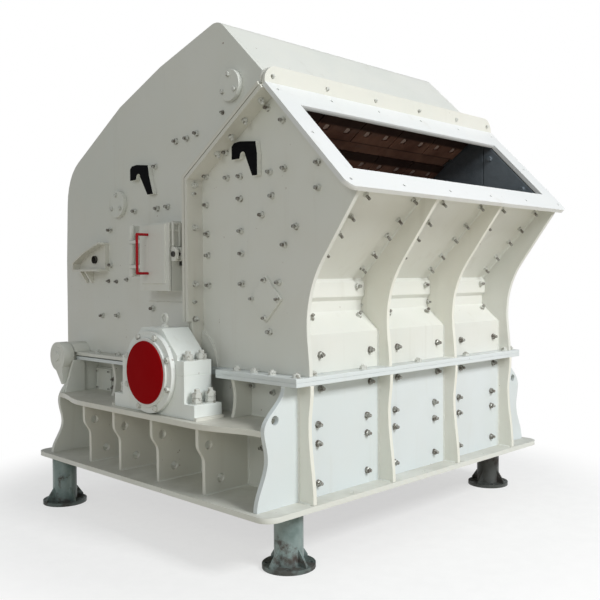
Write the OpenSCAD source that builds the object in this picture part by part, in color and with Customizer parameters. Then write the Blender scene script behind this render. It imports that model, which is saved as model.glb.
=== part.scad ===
// Hammer crusher: a horizontal-shaft impact crusher in welded steel plate.
// +X is the feed side, the rotor shaft lies along Y, +Z is up. The floor is Z = 0.

/* [Machine] */
// Width of the feed opening, measured along the rotor shaft
feed_w = 1830; // [1750:10:1950]
// Height of the underside of the base flange above the floor
leg_h = 300; // [260:10:400]
// Height of the joint between the base and the upper housing
joint_z = 951; // [930:1:1000]
// Rotor shaft's place in front of the middle of the base
rotor_x = 150; // [110:5:170]
// Place of the split between the fixed front and the hinged rear housing
split_x = 235; // [225:5:260]

/* [Plates] */
// Thickness of the upper side plates
side_t = 25; // [20:1:30]
// Thickness of the wear liners on the side plates
liner_t = 20; // [15:1:25]
// Thickness of the front, rear and roof plates
panel_t = 20; // [16:1:25]
// Thickness of the stiffening ribs
rib_t = 25; // [20:1:30]
// Gap between the hinged housing and the fixed plates it closes on
seal_gap = 6; // [5:0.5:8]

/* [Base] */
// Distance of the base's front wall from the middle
front_wall_x = 1036; // [1010:2:1060]
// Distance of the base's rear wall from the middle
rear_wall_x = 1013; // [1000:1:1030]
// Reach of the base flange beyond the front wall
flange_out_front = 115; // [110:5:140]
// Reach of the base flange beyond the rear wall
flange_out_rear = 138; // [110:2:150]
// Reach of the base flange beyond the upper side plates
flange_out_side = 320; // [310:5:360]
// Thickness of the base flange
base_flange_t = 28; // [20:1:40]
// Corner radius of the base flange
base_flange_r = 80; // [40:5:140]
// Thickness of the base box's walls
base_wall_t = 28; // [20:1:32]
// Distance of the base side walls behind the upper side plates
base_wall_inset = 55; // [45:5:60]
// Reach of the ribs on the front wall, at their neck
base_rib_neck = 72; // [60:2:85]
// Width of the raised covers on the base side walls
side_pad_w = 200; // [150:10:240]
// Thickness of those covers
side_pad_t = 12; // [8:1:16]
// Radius of the bolt holes in the base flange
base_hole_r = 11; // [9:1:16]
// Distance of those holes from the flange's edge
base_hole_in = 42; // [35:1:50]

/* [End wall wings] */
// Distance of the wings' foot from the edge of the base flange
wing_foot_in = 35; // [20:5:50]
// Reach of the wings beyond the upper side plates, at their waist
wing_waist = 211; // [200:1:225]
// The same at the bearing shelf
wing_bulge = 234; // [226:2:245]
// The same under the joint flange
wing_top = 95; // [80:5:98]
// Height of the waist above the base flange
wing_waist_h = 250; // [220:10:280]
// Drop of the rear wings, which leave room for the hinge
rear_wing_drop = 52; // [46:2:60]
// Radius of the holes in the wings
wing_hole_r = 24; // [15:1:30]
// Distance of those holes beyond the upper side plates
wing_hole_out = 162; // [150:2:180]
// Height of those holes above the bearing shelf
wing_hole_h = 47; // [40:1:60]

/* [Joint flange] */
// Reach of the joint flange beyond the side plates
joint_out = 100; // [90:5:110]
// Reach of the joint flange in front of the base's front wall
joint_out_front = 89; // [80:1:95]
// Thickness of each of the two joint flange plates
joint_flange_t = 22; // [18:1:26]

/* [Bearing shelf] */
// Height of the top of the bearing shelf
shelf_z = 720; // [700:1:735]
// Thickness of the bearing shelf
shelf_t = 30; // [25:1:40]
// Reach of the bearing shelf beyond the side plates, at the bearing
shelf_out = 325; // [318:1:335]
// Half length of the wide middle of the bearing shelf
shelf_mid = 560; // [500:10:600]
// Places of the ribs below the shelf
side_rib_x = [-580, -240, 150, 570];
// Reach of those ribs beyond the upper side plates, at their foot
side_rib_out = 247; // [230:1:255]
// Height above the base flange at which they start to widen
side_rib_turn = 172; // [150:2:190]
// Height in which they widen towards the shelf
side_rib_sweep = 100; // [80:5:120]
// Distance of the ribs above the shelf from the middle
upper_rib_x = 600; // [570:10:640]
// Reach of those ribs from the base side wall
upper_rib_out = 130; // [110:2:140]

/* [Legs] */
// Radius of a leg's tube
leg_r = 76; // [60:1:90]
// Wall of a leg's tube
leg_wall = 10; // [6:1:16]
// Radius of a leg's foot flange
foot_r = 138; // [120:1:150]
// Thickness of a leg's foot flange
foot_t = 22; // [15:1:30]
// Height of the gussets on a foot
gusset_h = 90; // [60:5:110]
// Thickness of those gussets
gusset_t = 12; // [8:1:16]
// Distances of the front left leg from the flange's front end and its side
leg_front_left = [151, 280];
// The same for the front right leg
leg_front_right = [301, 180];
// Distances of the rear left leg from the flange's rear end and its side
leg_rear_left = [201, 95];
// The same for the rear right leg
leg_rear_right = [201, 180];
// Half distance between a foot's anchor holes
anchor_pitch = 78; // [70:1:85]
// Radius of an anchor hole
anchor_r = 13; // [9:1:16]

/* [Feed flange] */
// Top edge of the feed flange, along the feed direction
feed_top_x = 904; // [895:1:920]
// Height of the top edge of the feed flange
feed_top_z = 2471; // [2440:1:2500]
// Slope of the feed flange
feed_slope = 45; // [44:0.5:46]
// Length of the feed flange down its slope
feed_flange_l = 811; // [780:1:840]
// Thickness of the feed flange
feed_flange_t = 25; // [20:1:32]
// Reach of the feed flange beyond the side plates
feed_out = 95; // [85:1:110]
// Distance of the feed opening below the top edge of its flange
feed_open_top = 165; // [140:1:180]
// Length of the feed opening down its slope
feed_open_l = 503; // [460:1:510]
// Radius of the lower corners of the feed flange
feed_corner_r = 60; // [20:5:80]
// Radius of the bolt holes in the feed flange
feed_hole_r = 9; // [6:1:12]
// Distance of those holes from the flange's edges
feed_hole_in = 54; // [46:1:65]
// Number of bolt holes along the top edge, and along the bottom edge
feed_hole_n = 6; // [4:1:8]
// Height of the standing flange above the feed flange
stand_h = 88; // [60:1:100]
// Radius of the standing flange's corners
stand_r = 80; // [40:5:85]

/* [Front housing] */
// Front edge of the ribs where they are narrowest
neck_x = 1100; // [1085:5:1115]
// Reach of the ribs' foot in front of their neck
neck_foot = 18; // [5:1:22]
// Slope of the ribs' edge below the feed flange
neck_slope = 53.5; // [50:0.5:58]
// Radius of the bend in the ribs' front edge
neck_r = 560; // [450:10:600]
// Distance of the sloping panel from the lower end of the feed flange
panel_lip = 95; // [80:5:110]
// Front face of the panel at its waist
waist_x = 910; // [890:5:930]
// Height of the bottom of the waist
waist_z = 1285; // [1260:5:1310]
// Height at which the panel reaches the plane of the base's front wall
belly_z = 1176; // [1150:2:1200]
// Thickness of the strip that laps the panel's joint
strip_t = 22; // [12:1:28]
// Height of the bottom of that strip
strip_z = 1343; // [1330:1:1360]
// Height of that strip
strip_h = 102; // [70:2:110]
// Middle of the square cover on the side, along the feed direction
cover_plate_x = 804; // [780:2:820]
// Height of that middle
cover_plate_z = 1362; // [1340:2:1380]
// Side of the square cover, which stands on its corner
cover_plate_w = 174; // [150:2:190]
// Thickness of the square cover
cover_plate_t = 16; // [10:1:20]

/* [Rear housing] */
// Distance of the rear face behind the middle
rear_x = 1300; // [1290:5:1320]
// Height of the rear wall's lower edge
rear_foot_z = 1002; // [990:2:1030]
// Height at which the rear wall starts to lean
lean_z = 1600; // [1550:10:1650]
// How far the rear wall leans in at the eave
lean = 18; // [5:1:25]
// Height at which the rounded eave starts
eave_z = 1985; // [1950:5:2020]
// Start of the roof behind the middle
eave_x = 1127; // [1110:1:1140]
// Height of the start of the roof
eave_top_z = 2274; // [2260:2:2290]
// First bend in the roof, behind the middle
bend_x = 595; // [570:5:620]
// Height of that bend
bend_z = 2574; // [2560:2:2590]
// Second bend in the roof, behind the middle
crest_x = 145; // [120:5:170]
// Height of that bend
crest_z = 2751; // [2735:2:2765]
// Middle of the rounded ridge, along the feed direction
ridge_x = 385; // [370:5:400]
// Height of the ridge
ridge_z = 2900; // [2885:1:2915]
// Radius of the ridge
ridge_r = 110; // [80:5:130]

/* [Split flange] */
// Thickness of the split flange plates
split_flange_t = 22; // [18:1:25]
// Reach of the split flange beyond the side plates
split_out = 110; // [100:5:120]
// Height of the corner where the split turns towards the feed flange
split_corner_z = 2040; // [2000:5:2080]
// Radius of the shaft seal's ring on the side plates
seal_ring_r = 250; // [235:5:270]
// Thickness of that ring
seal_ring_t = 14; // [8:1:18]
// Clearance round the shaft where it passes the walls
shaft_way = 20; // [15:1:30]
// The same in the upper housing's plates, behind the seal's ring
upper_way = 85; // [80:1:95]

/* [Lifting hooks] */
// Place of the rear hook's throat behind the middle
rear_hook_x = 343; // [330:5:360]
// Height of that throat
rear_hook_z = 2100; // [2080:5:2120]
// Place of the front hook's throat
front_hook_x = 652; // [640:5:665]
// Height of that throat
front_hook_z = 2128; // [2110:2:2140]
// Thickness of the lifting hooks
hook_t = 32; // [26:1:40]
// Radius of a hook's throat
throat_r = 21; // [15:1:26]
// Height of a hook above its throat
hook_top = 80; // [70:1:90]
// Depth of a hook's shank below its throat
hook_low = 114; // [100:2:130]
// Depth of a hook's nose below its throat
nose_low = 14; // [5:1:20]

/* [Hinge] */
// Distance of the hinge pin behind the middle
hinge_x = 1080; // [1078:1:1085]
// Radius of the hinge pin
hinge_pin_r = 32; // [25:1:38]
// Radius of the outer hinge boss
hinge_boss_r = 96; // [85:1:100]
// Radius of the housing's knuckle
knuckle_r = 60; // [50:1:62]
// Distance of the boss's outer face from the side plate
hinge_out = 200; // [190:2:215]
// Width of the outer hinge boss
hinge_boss_w = 75; // [60:1:80]
// Width of the housing's knuckle
knuckle_w = 55; // [45:1:60]
// Gap between knuckle and boss
knuckle_gap = 8; // [6:1:10]
// Running clearance round the hinge pin
pin_clear = 0.5; // [0.3:0.1:0.9]
// Radius of the knuckle's arm on the side plate
arm_r = 92; // [80:1:96]
// Drop of the lug's foot below the pin
lug_drop = 182; // [170:2:200]

/* [Rotor] */
// Radius over the hammers
rotor_r = 605; // [560:5:610]
// Distance of the rotor's ends from the side liners
rotor_side_gap = 70; // [60:5:90]
// Radius of the rotor discs
disc_r = 500; // [450:5:520]
// Thickness of a rotor disc
disc_t = 70; // [40:5:90]
// Number of rotor discs
disc_n = 6; // [4:1:7]
// Number of hammer bars
hammer_n = 4; // [3:1:4]
// Thickness of a hammer bar
hammer_t = 90; // [60:5:110]
// Depth of a hammer bar
hammer_d = 250; // [200:10:270]
// Thickness of the striking lip of a hammer bar
hammer_lip = 125; // [110:5:135]
// Depth of that lip
hammer_lip_d = 70; // [50:5:80]
// Radius of the hollows cut in the discs behind the hammers
scallop_r = 150; // [120:5:170]
// Radius of the shaft in the bearings
shaft_r = 80; // [72:1:90]
// Radius of the shaft inside the rotor
shaft_body_r = 125; // [110:1:130]
// Radius of the drive stub
stub_r = 70; // [60:1:71]
// Length of the drive stub beyond its bearing cover
stub_l = 230; // [150:5:260]

/* [Bearings] */
// Distance of the bearing housing's outer face from the side plate
bearing_out = 280; // [270:2:290]
// Depth of the bearing housing along the shaft
bearing_d = 185; // [170:1:190]
// Height of the cap above the shaft's centre
cap_h = 246; // [236:1:250]
// Half width of the cap's flat top
cap_flat = 98; // [80:1:110]
// Half width of the cap where its slopes end
cap_half = 238; // [230:1:245]
// Half length of the cap's feet
cap_foot_l = 300; // [290:5:320]
// Height of the cap's feet
cap_foot_h = 77; // [60:1:90]
// Half length of the base's feet
base_foot_l = 388; // [380:2:400]
// Height of the base's feet
base_foot_h = 80; // [60:1:90]
// Radius of the round end cover
cover_r = 229; // [215:1:230]
// Thickness of the round end cover's flange
cover_t = 30; // [24:1:36]
// Radius of the cover's raised middle
cover_mid_r = 192; // [184:1:198]
// Height of the cover's raised middle above its flange
cover_mid_t = 15; // [8:1:20]
// Radius of the painted end disc
disc_cap_r = 175; // [150:1:180]
// Thickness of the painted end disc
disc_cap_t = 8; // [6:1:12]
// Running clearance round the shaft
shaft_clear = 0.5; // [0.3:0.1:0.9]
// Width of the stop bars at the bearing's feet
stop_w = 22; // [15:1:30]
// Height of the stop bars
stop_h = 16; // [10:1:24]

/* [Curtains] */
// Upper pivot shaft, along the feed direction
upper_pivot_x = 536; // [520:2:550]
// Height of the upper pivot shaft
upper_pivot_z = 2524; // [2510:2:2535]
// Distance of the lower pivot shaft behind the middle
lower_pivot_x = 603; // [590:1:620]
// Height of the lower pivot shaft
lower_pivot_z = 1952; // [1940:2:1965]
// Radius of the pivot shafts
pivot_r = 40; // [30:1:45]
// Clearance round the pivot shafts in the side plates
pivot_clear = 0.5; // [0.3:0.1:0.9]
// Radius of the round covers over the pivot shafts
pivot_cover_r = 86; // [75:1:95]
// Thickness of the round covers
pivot_cover_t = 30; // [20:1:40]
// Front end of the upper curtain's face
upper_face_x = 830; // [815:5:840]
// Height of that end
upper_face_z = 2385; // [2375:5:2395]
// Slope of the upper curtain
upper_slope = 35; // [34:0.5:36]
// Top of the lower curtain's face, behind the middle
lower_face_x = 400; // [390:5:415]
// Height of that top
lower_face_z = 1600; // [1580:5:1615]
// Slope of the lower curtain
lower_slope = 74; // [73:0.5:75]
// Height of a row of wear plates
row_h = 250; // [230:5:260]
// Height of the ledge below a row's plates
row_ledge = 82; // [70:2:95]
// Depth of that ledge
row_step = 18; // [10:1:25]
// Thickness of the wear plates
wear_t = 60; // [45:5:70]
// Thickness of a curtain's back plate
back_t = 30; // [20:1:40]
// Number of bolt pockets across a curtain
pocket_n = 10; // [6:2:12]
// Width of a square bolt pocket
pocket_w = 46; // [30:2:60]
// Depth of a bolt pocket
pocket_d = 28; // [15:1:40]
// Distance of the pockets from the lower edge of their plate
pocket_low = 55; // [45:1:70]
// Width of the grooves between the wear plates
groove_w = 8; // [4:1:12]
// Wall of the arms' boss round the pivot shaft
arm_boss = 35; // [25:1:40]
// Thickness of a curtain's arms
arm_t = 40; // [30:2:50]
// Clearance between a curtain and the side liners
curtain_clear = 20; // [15:1:30]

/* [Liners] */
// Lower edge of the side liners above the joint
liner_low = 249; // [230:5:260]
// Place of the seam between the front side liners
liner_seam_x = 930; // [915:5:945]
// Gap at that seam
liner_seam = 6; // [3:1:8]

/* [Cylinder bracket] */
// Rear end of the cylinder bracket, behind the middle
bracket_x = 1078; // [1060:2:1100]
// Length of the cylinder bracket
bracket_l = 334; // [320:2:350]
// Top of the bracket's shelf
bracket_z = 1535; // [1520:5:1550]
// Height of the bracket above its shelf
bracket_h = 175; // [160:5:190]
// Reach of the bracket's arched rim from the side plate
bracket_d = 85; // [70:5:90]
// Thickness of the bracket's rim and shelf
bracket_t = 14; // [10:1:18]
// Thickness of the bracket's web
bracket_web_t = 30; // [24:1:36]
// Height at which the rim's arch starts above the shelf
bracket_rise = 45; // [30:5:60]
// Place of the pin hole in front of the bracket's rear end
bracket_eye_x = 214; // [200:2:230]
// Height of the pin hole above the shelf
bracket_eye_z = 64; // [55:1:75]
// Radius of the hole for the cylinder's pin
bracket_eye_r = 25; // [18:1:28]

/* [Door] */
// Left edge of the door box, behind the middle
door_x = 185; // [170:5:200]
// Width of the door box
door_w = 295; // [280:5:300]
// Lower edge of the door box
door_z = 1400; // [1380:5:1420]
// Height of the door box
door_h = 395; // [360:5:410]
// Reach of the door box from the side plate
door_box_d = 115; // [100:5:120]
// Thickness of the door box's plates
door_box_t = 14; // [8:1:20]
// Gap between the door and its box
door_gap = 5; // [5:0.5:8]
// Thickness of the door
door_t = 16; // [10:1:25]
// Margin of the raised panel on the door
door_margin = 28; // [20:1:40]
// Height of the raised panel
door_panel_t = 8; // [4:1:12]
// Margin of the pad plate below the box
pad_margin = 63; // [40:1:70]
// Margin of the pad plate on the hinge's side of the box
pad_side = 97; // [60:1:100]
// Thickness of the pad plate
pad_t = 10; // [6:1:14]
// Distance of the door's hinge pin beyond its edge
door_pin_off = 115; // [100:5:125]
// Radius of the door's hinge pin
door_pin_r = 10; // [8:1:12]
// Radius of the hinge barrels
barrel_r = 18; // [16:1:22]
// Heights of the two straps above the box's lower edge
strap_z = [134, 284];
// Height of a strap
strap_h = 20; // [14:1:26]
// Thickness of a strap
strap_t = 12; // [8:1:14]
// Reach of the hinge barrels beyond the straps
barrel_over = 48; // [40:2:60]
// Gap between a strap's eye and the barrels
barrel_gap = 1; // [0.5:0.5:2]
// Radius of the door handle's bar
handle_r = 8; // [6:1:10]
// Length of the door handle
handle_l = 228; // [200:2:250]
// Height of the handle's lower end above the door's lower edge
handle_z = 103; // [90:1:115]
// Distance of the handle from the door's left edge
handle_x = 100; // [80:5:120]
// Reach of the door handle
handle_d = 76; // [50:2:90]
// Length of the latch wedge
wedge_l = 226; // [200:2:240]
// Height of the wedge's lower end above the door's lower edge
wedge_z = 176; // [160:2:190]
// Width of the wedge
wedge_w = 60; // [50:2:66]
// Thickness of the wedge
wedge_t = 12; // [8:1:16]

/* [Hidden] */

$fn = 64;
eps = 0.01;
// hair gap between sloped plates that meet
fit = 0.1;

// plate colours
cream = [0.86, 0.86, 0.82];
black = [0.08, 0.08, 0.09];
red = [0.5, 0.05, 0.06];
iron = [0.3, 0.24, 0.2];
leg_grey = [0.4, 0.46, 0.45];

// upper side plates
wall_in = feed_w / 2 + liner_t;
side_y = wall_in + side_t;

// base
base_top = leg_h + base_flange_t;
base_wall_y = side_y - base_wall_inset;
base_wall_in = base_wall_y - base_wall_t;
front_wall_in = front_wall_x - base_wall_t;
rear_wall_in = -rear_wall_x + base_wall_t;
wall_top = joint_z - joint_flange_t;
flange_x0 = -rear_wall_x - flange_out_rear;
flange_x1 = front_wall_x + flange_out_front;
flange_y = side_y + flange_out_side;
wing_foot_y = flange_y - wing_foot_in;
waist_y = side_y + wing_waist;
bulge_y = side_y + wing_bulge;
waist_z0 = base_top + wing_waist_h;
shelf_y = side_y + shelf_out;
rib_pitch = 2 * (side_y - rib_t / 2) / 3;

// joint flanges
joint_y = side_y + joint_out;
joint_x = front_wall_x + joint_out_front;
front_flange_top = joint_z + joint_flange_t;
rear_flange_z = joint_z + seal_gap;
rear_bottom = rear_flange_z + joint_flange_t;

// bearings
bearing_y = side_y + bearing_out;
bearing_in = bearing_y - bearing_d;
cover_y = bearing_y + cover_t + cover_mid_t;
recess_l = cap_foot_l + 40;
recess_y = side_y + 15;
shaft_hole_r = shaft_r + shaft_way;
upper_hole_r = shaft_r + upper_way;

// feed flange, drawn down its slope from its top edge
feed_y = side_y + feed_out;
feed_down = [cos(feed_slope), -sin(feed_slope)];
feed_back = feed_flange_t * [-sin(feed_slope), -cos(feed_slope)];
feed_low = [feed_top_x, feed_top_z] + feed_flange_l * feed_down;
feed_corner = [feed_top_x, feed_top_z] + feed_back;
stand_back = feed_top_x - split_flange_t;

function ease(t) = (1 - cos(180 * t)) / 2;
// points of a smooth S from p to q, upright at both ends
function sweep(p, q, n = 10) =
    [for (i = [0:n]) [p.x + (q.x - p.x) * ease(i / n), p.y + (q.y - p.y) * i / n]];
// points of a bend from p to q that starts and ends towards c
function bend(p, c, q, n = 8) =
    [for (i = [0:n]) let (t = i / n) (1 - t) * (1 - t) * p + 2 * t * (1 - t) * c + t * t * q];
// points of an arc round c
function arc(c, r, a, b, n = 10) = [for (i = [0:n]) c + r * [cos(a + (b - a) * i / n), sin(a + (b - a) * i / n)]];
function turned(p) = [for (i = [len(p) - 1:-1:0]) p[i]];
function side_step(a) = [-a.y, a.x] / norm(a);
// line p moved to its left by d, with mitred corners
function shifted(p, d) = [for (i = [0:len(p) - 1]) let (
    a = side_step(i > 0 ? p[i] - p[i - 1] : p[1] - p[0]),
    b = side_step(i < len(p) - 1 ? p[i + 1] - p[i] : p[i] - p[i - 1]))
    p[i] + d * (a + b) / (1 + a * b)];
// outline of a plate bent along line p, with its thickness d to the left
function bent(p, d) = concat(p, turned(shifted(p, d)));

// ribs' front edge: a slope under the feed flange, a bend, and a foot on the joint flange
rib_lip = feed_low + feed_back - 14 * feed_down + fit * feed_back / feed_flange_t;
bend_turn = 90 - neck_slope;
bend_x1 = neck_x + neck_r * (1 - cos(bend_turn));
neck_z = rib_lip.y - (rib_lip.x - bend_x1) * tan(neck_slope) - neck_r * sin(bend_turn);
rib_edge = concat(
    [rib_lip],
    arc([neck_x + neck_r, neck_z], neck_r, 90 + neck_slope, 180),
    sweep([neck_x, neck_z - 1], [neck_x + neck_foot, front_flange_top]));

// front panel's outer face: a chute under the feed opening, a waist and the belly below it
panel_top = feed_low + feed_back - panel_lip * feed_down + fit * feed_back / feed_flange_t;
chute_z = panel_top.y - (panel_top.x - waist_x) * tan(90 - feed_slope);
panel_line = [panel_top, [waist_x, chute_z], [waist_x, waist_z], [front_wall_x, belly_z],
    [front_wall_x, front_flange_top]];
strip_line = [[waist_x, strip_z + strip_h + strip_t], [waist_x + strip_t, strip_z + strip_h],
    [waist_x + strip_t, strip_z + strip_t], [waist_x, strip_z]];

// split between front and rear housing
split_front = split_x + seal_gap / 2;
split_rear = split_x - seal_gap / 2;
split_end = [feed_top_x - 24, feed_top_z - 10];
split_turn = atan2(split_end.y - split_corner_z, split_end.x - split_x);
split_run = [cos(split_turn), sin(split_turn)];

// line of the split, offset to one side by d
function split_line(d) = let (n = [-split_run.y, split_run.x],
    c = split_corner_z - d * tan((90 - split_turn) / 2))
    [[split_x + d, (d > 0 ? front_flange_top : rear_bottom)], [split_x + d, c],
        split_end - d * n - (d > 0 ? 0 : 8) * split_run];

// rear wall and roof, drawn over their outer face from the joint flange up and forward
ridge_c = [ridge_x, ridge_z - ridge_r];
roof_front = [stand_back - seal_gap, feed_top_z + 4];
rise_turn = atan2(ridge_z - 5 - crest_z, ridge_x + crest_x);
fall_turn = atan2(ridge_c.y - roof_front.y, roof_front.x - ridge_c.x)
    + asin(ridge_r / norm(roof_front - ridge_c));
foot_line = [[60 - rear_wall_x, rear_bottom], [-rear_wall_x, rear_bottom], [-rear_x, rear_foot_z],
    [-rear_x, lean_z], [lean - rear_x, eave_z]];
roof_line = concat(
    bend([lean - rear_x, eave_z], [lean - rear_x + 9, (eave_z + eave_top_z) / 2 + 58], [-eave_x, eave_top_z], 6),
    [[-bend_x, bend_z], [-crest_x, crest_z]],
    arc(ridge_c, ridge_r, 90 + rise_turn, 90 - fall_turn, 8),
    [roof_front]);
shell = concat(foot_line, [for (i = [1:len(roof_line) - 1]) roof_line[i]]);
shell_in = shifted(shell, -panel_t);
eave_i = len(foot_line) - 1;

// hinge
hinge = [-hinge_x, joint_z];
hinge_y = side_y + hinge_out;
lug_y = hinge_y - hinge_boss_w;
knuckle_y = lug_y - knuckle_gap - knuckle_w;

// curtains
upper_pivot = [upper_pivot_x, upper_pivot_z];
lower_pivot = [-lower_pivot_x, lower_pivot_z];
curtain_y = feed_w / 2 - curtain_clear;

// rotor
rotor_w = feed_w - 2 * rotor_side_gap;

// cylinder bracket
bracket_end = -bracket_x + bracket_l;
bracket_eye = [-bracket_x + bracket_eye_x, bracket_z + bracket_eye_z];

// a plate drawn in XZ, from y0 towards +Y
module plate_y(y0, t) {
    translate([0, y0 + t, 0])
        rotate([90, 0, 0])
            linear_extrude(t)
                children();
}

// a plate drawn in YZ, from x0 towards +X
module plate_x(x0, t) {
    translate([x0, 0, 0])
        rotate([90, 0, 90])
            linear_extrude(t)
                children();
}

module both_sides() {
    children();
    mirror([0, 1, 0])
        children();
}

// a round bar along Y
module bar_y(x, z, r, y0, y1) {
    translate([x, y1, z])
        rotate([90, 0, 0])
            cylinder(h = y1 - y0, r = r);
}

// a flat square-cornered box between two corners
module block(a, b) {
    translate(a)
        cube(b - a);
}

// ---------------------------------------------------------------- base

module rounded_rect(x0, x1, w, r) {
    translate([x0 + r, -w / 2])
        square([x1 - x0 - 2 * r, w]);
    translate([x0, -w / 2 + r])
        square([x1 - x0, w - 2 * r]);
    for (x = [x0 + r, x1 - r])
        for (y = [r - w / 2, w / 2 - r])
            translate([x, y])
                circle(r);
}

module base_flange() {
    color(cream)
        translate([0, 0, leg_h])
            linear_extrude(base_flange_t)
                difference() {
                    rounded_rect(flange_x0, flange_x1, 2 * flange_y, base_flange_r);
                    translate([rear_wall_in, -base_wall_in])
                        square([front_wall_in - rear_wall_in, 2 * base_wall_in]);
                    for (x = [flange_x0 + base_hole_in, flange_x1 - base_hole_in])
                        for (y = [-rib_pitch, 0, rib_pitch])
                            translate([x, y])
                                circle(base_hole_r);
                }
}

// edge of an end wall's wing: out on the flange, in to a waist, out at the shelf and in at the top
function wing_edge(drop) = concat(
    sweep([wing_foot_y, base_top], [waist_y, waist_z0 - drop]),
    sweep([waist_y, waist_z0 - drop + 1], [bulge_y, shelf_z - drop], 6),
    sweep([bulge_y, shelf_z - drop + 1], [side_y + wing_top, wall_top - 8]));

module end_wall(x0, drop) {
    edge = wing_edge(drop);
    color(cream)
        plate_x(x0, base_wall_t)
            difference() {
                polygon(concat(edge, [[side_y + wing_top, wall_top], [-side_y - wing_top, wall_top]],
                    [for (p = turned(edge)) [-p.x, p.y]]));
                for (s = [-1, 1])
                    translate([s * (side_y + wing_hole_out), shelf_z + wing_hole_h - drop])
                        circle(wing_hole_r);
            }
}

module base_front_wall() {
    end_wall(front_wall_in, 0);
}

module base_rear_wall() {
    end_wall(-rear_wall_x, rear_wing_drop);
}

// a side wall with a raised cover in its upper rear corner
module base_side_walls() {
    color(cream)
        both_sides() {
            plate_y(base_wall_in, base_wall_t)
                difference() {
                    translate([rear_wall_in, base_top])
                        square([front_wall_in - rear_wall_in, wall_top - base_top]);
                    translate([rotor_x, joint_z])
                        circle(shaft_hole_r);
                }
            block([rear_wall_in + 6, base_wall_y - eps, shelf_z + 6],
                [rear_wall_in + 6 + side_pad_w, base_wall_y + side_pad_t, wall_top - 56]);
        }
}

module base_front_ribs() {
    foot = front_wall_x + flange_out_front - 10;
    neck = front_wall_x + base_rib_neck;
    color(cream)
        for (i = [-1.5:1:1.5])
            plate_y(i * rib_pitch - rib_t / 2, rib_t)
                polygon(concat(
                    [[front_wall_x, base_top]],
                    sweep([foot, base_top], [neck, shelf_z]),
                    sweep([neck, shelf_z + 1], [joint_x, wall_top - 10], 6),
                    [[joint_x, wall_top], [front_wall_x, wall_top]]));
}

shelf_front = [for (p = sweep([bulge_y, front_wall_in], [shelf_y, shelf_mid])) [p.y, p.x]];
shelf_rear = [for (p = sweep([bulge_y, rear_wall_in], [shelf_y, -shelf_mid])) [p.y, p.x]];

// a shelf along each side, with a stop bar at each end of the bearing's feet
module bearing_shelves() {
    color(cream)
        both_sides() {
            translate([0, 0, shelf_z - shelf_t])
                linear_extrude(shelf_t)
                    polygon(concat([[front_wall_in, base_wall_y]], shelf_front, turned(shelf_rear),
                        [[rear_wall_in, base_wall_y]]));
            for (x = [rotor_x - base_foot_l - 0.3 - stop_w, rotor_x + base_foot_l + 0.3])
                block([x, side_y + joint_out, shelf_z - eps], [x + stop_w, bearing_y + 5, shelf_z + stop_h]);
        }
}

// a rib below the shelf, wider at its top, with two round holes
module side_rib(x) {
    low_y = side_y + side_rib_out;
    top_y = shelf_y - 35;
    turn_z = base_top + side_rib_turn;
    plate_x(x - rib_t / 2, rib_t)
        difference() {
            polygon(concat(
                [[base_wall_y, base_top], [low_y, base_top]],
                sweep([low_y, turn_z], [top_y, turn_z + side_rib_sweep]),
                [[top_y, shelf_z - shelf_t], [base_wall_y, shelf_z - shelf_t]]));
            translate([low_y - 105, base_top + 75])
                circle(wing_hole_r);
            translate([top_y - 68, shelf_z - shelf_t - 98])
                circle(wing_hole_r);
        }
}

// a rib between the shelf and the joint flange, hollowed in the middle
module upper_rib(x) {
    reach = base_wall_y + upper_rib_out;
    plate_x(x - rib_t / 2, rib_t)
        polygon(concat([[base_wall_y, shelf_z]],
            bend([reach, shelf_z], [reach - 40, (shelf_z + wall_top) / 2], [reach, wall_top]),
            [[base_wall_y, wall_top]]));
}

module side_ribs() {
    color(cream)
        both_sides() {
            for (x = side_rib_x)
                side_rib(x);
            for (x = [-upper_rib_x, upper_rib_x])
                upper_rib(x);
        }
}

// the bearing stands in a recess in both joint flanges
module joint_flange_plan(x0, x1, hole_x0, hole_x1, hole_y) {
    difference() {
        translate([x0, -joint_y])
            square([x1 - x0, 2 * joint_y]);
        translate([hole_x0, -hole_y])
            square([hole_x1 - hole_x0, 2 * hole_y]);
        for (s = [-1, 1])
            translate([rotor_x - recess_l, s > 0 ? recess_y : -joint_y - 1])
                square([2 * recess_l, joint_y - recess_y + 1]);
    }
}

module base_joint_flange() {
    color(cream)
        difference() {
            translate([0, 0, wall_top])
                linear_extrude(joint_flange_t)
                    joint_flange_plan(-rear_wall_x, joint_x, rear_wall_in, front_wall_in, base_wall_in);
            bar_y(rotor_x, joint_z, shaft_hole_r, -joint_y - 1, joint_y + 1);
        }
}

module leg(x, y) {
    color(leg_grey)
        translate([x, y, 0]) {
            difference() {
                union() {
                    cylinder(h = foot_t, r = foot_r);
                    translate([0, 0, foot_t])
                        cylinder(h = leg_h - foot_t, r = leg_r);
                    for (a = [0:90:270])
                        rotate([0, 0, a])
                            plate_y(-gusset_t / 2, gusset_t)
                                polygon([[leg_r - 4, foot_t - 1], [foot_r - 8, foot_t - 1],
                                    [foot_r - 8, foot_t + 12], [leg_r - 4, foot_t + gusset_h]]);
                }
                translate([0, 0, foot_t])
                    cylinder(h = leg_h, r = leg_r - leg_wall);
                for (a = [45:90:315])
                    rotate([0, 0, a])
                        translate([anchor_pitch * sqrt(2), 0, -1])
                            cylinder(h = foot_t + 2, r = anchor_r);
            }
        }
}

module front_legs() {
    leg(flange_x1 - leg_front_left.x, leg_front_left.y - flange_y);
    leg(flange_x1 - leg_front_right.x, flange_y - leg_front_right.y);
}

module rear_legs() {
    leg(flange_x0 + leg_rear_left.x, leg_rear_left.y - flange_y);
    leg(flange_x0 + leg_rear_right.x, flange_y - leg_rear_right.y);
}

// ---------------------------------------------------------------- front housing

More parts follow.
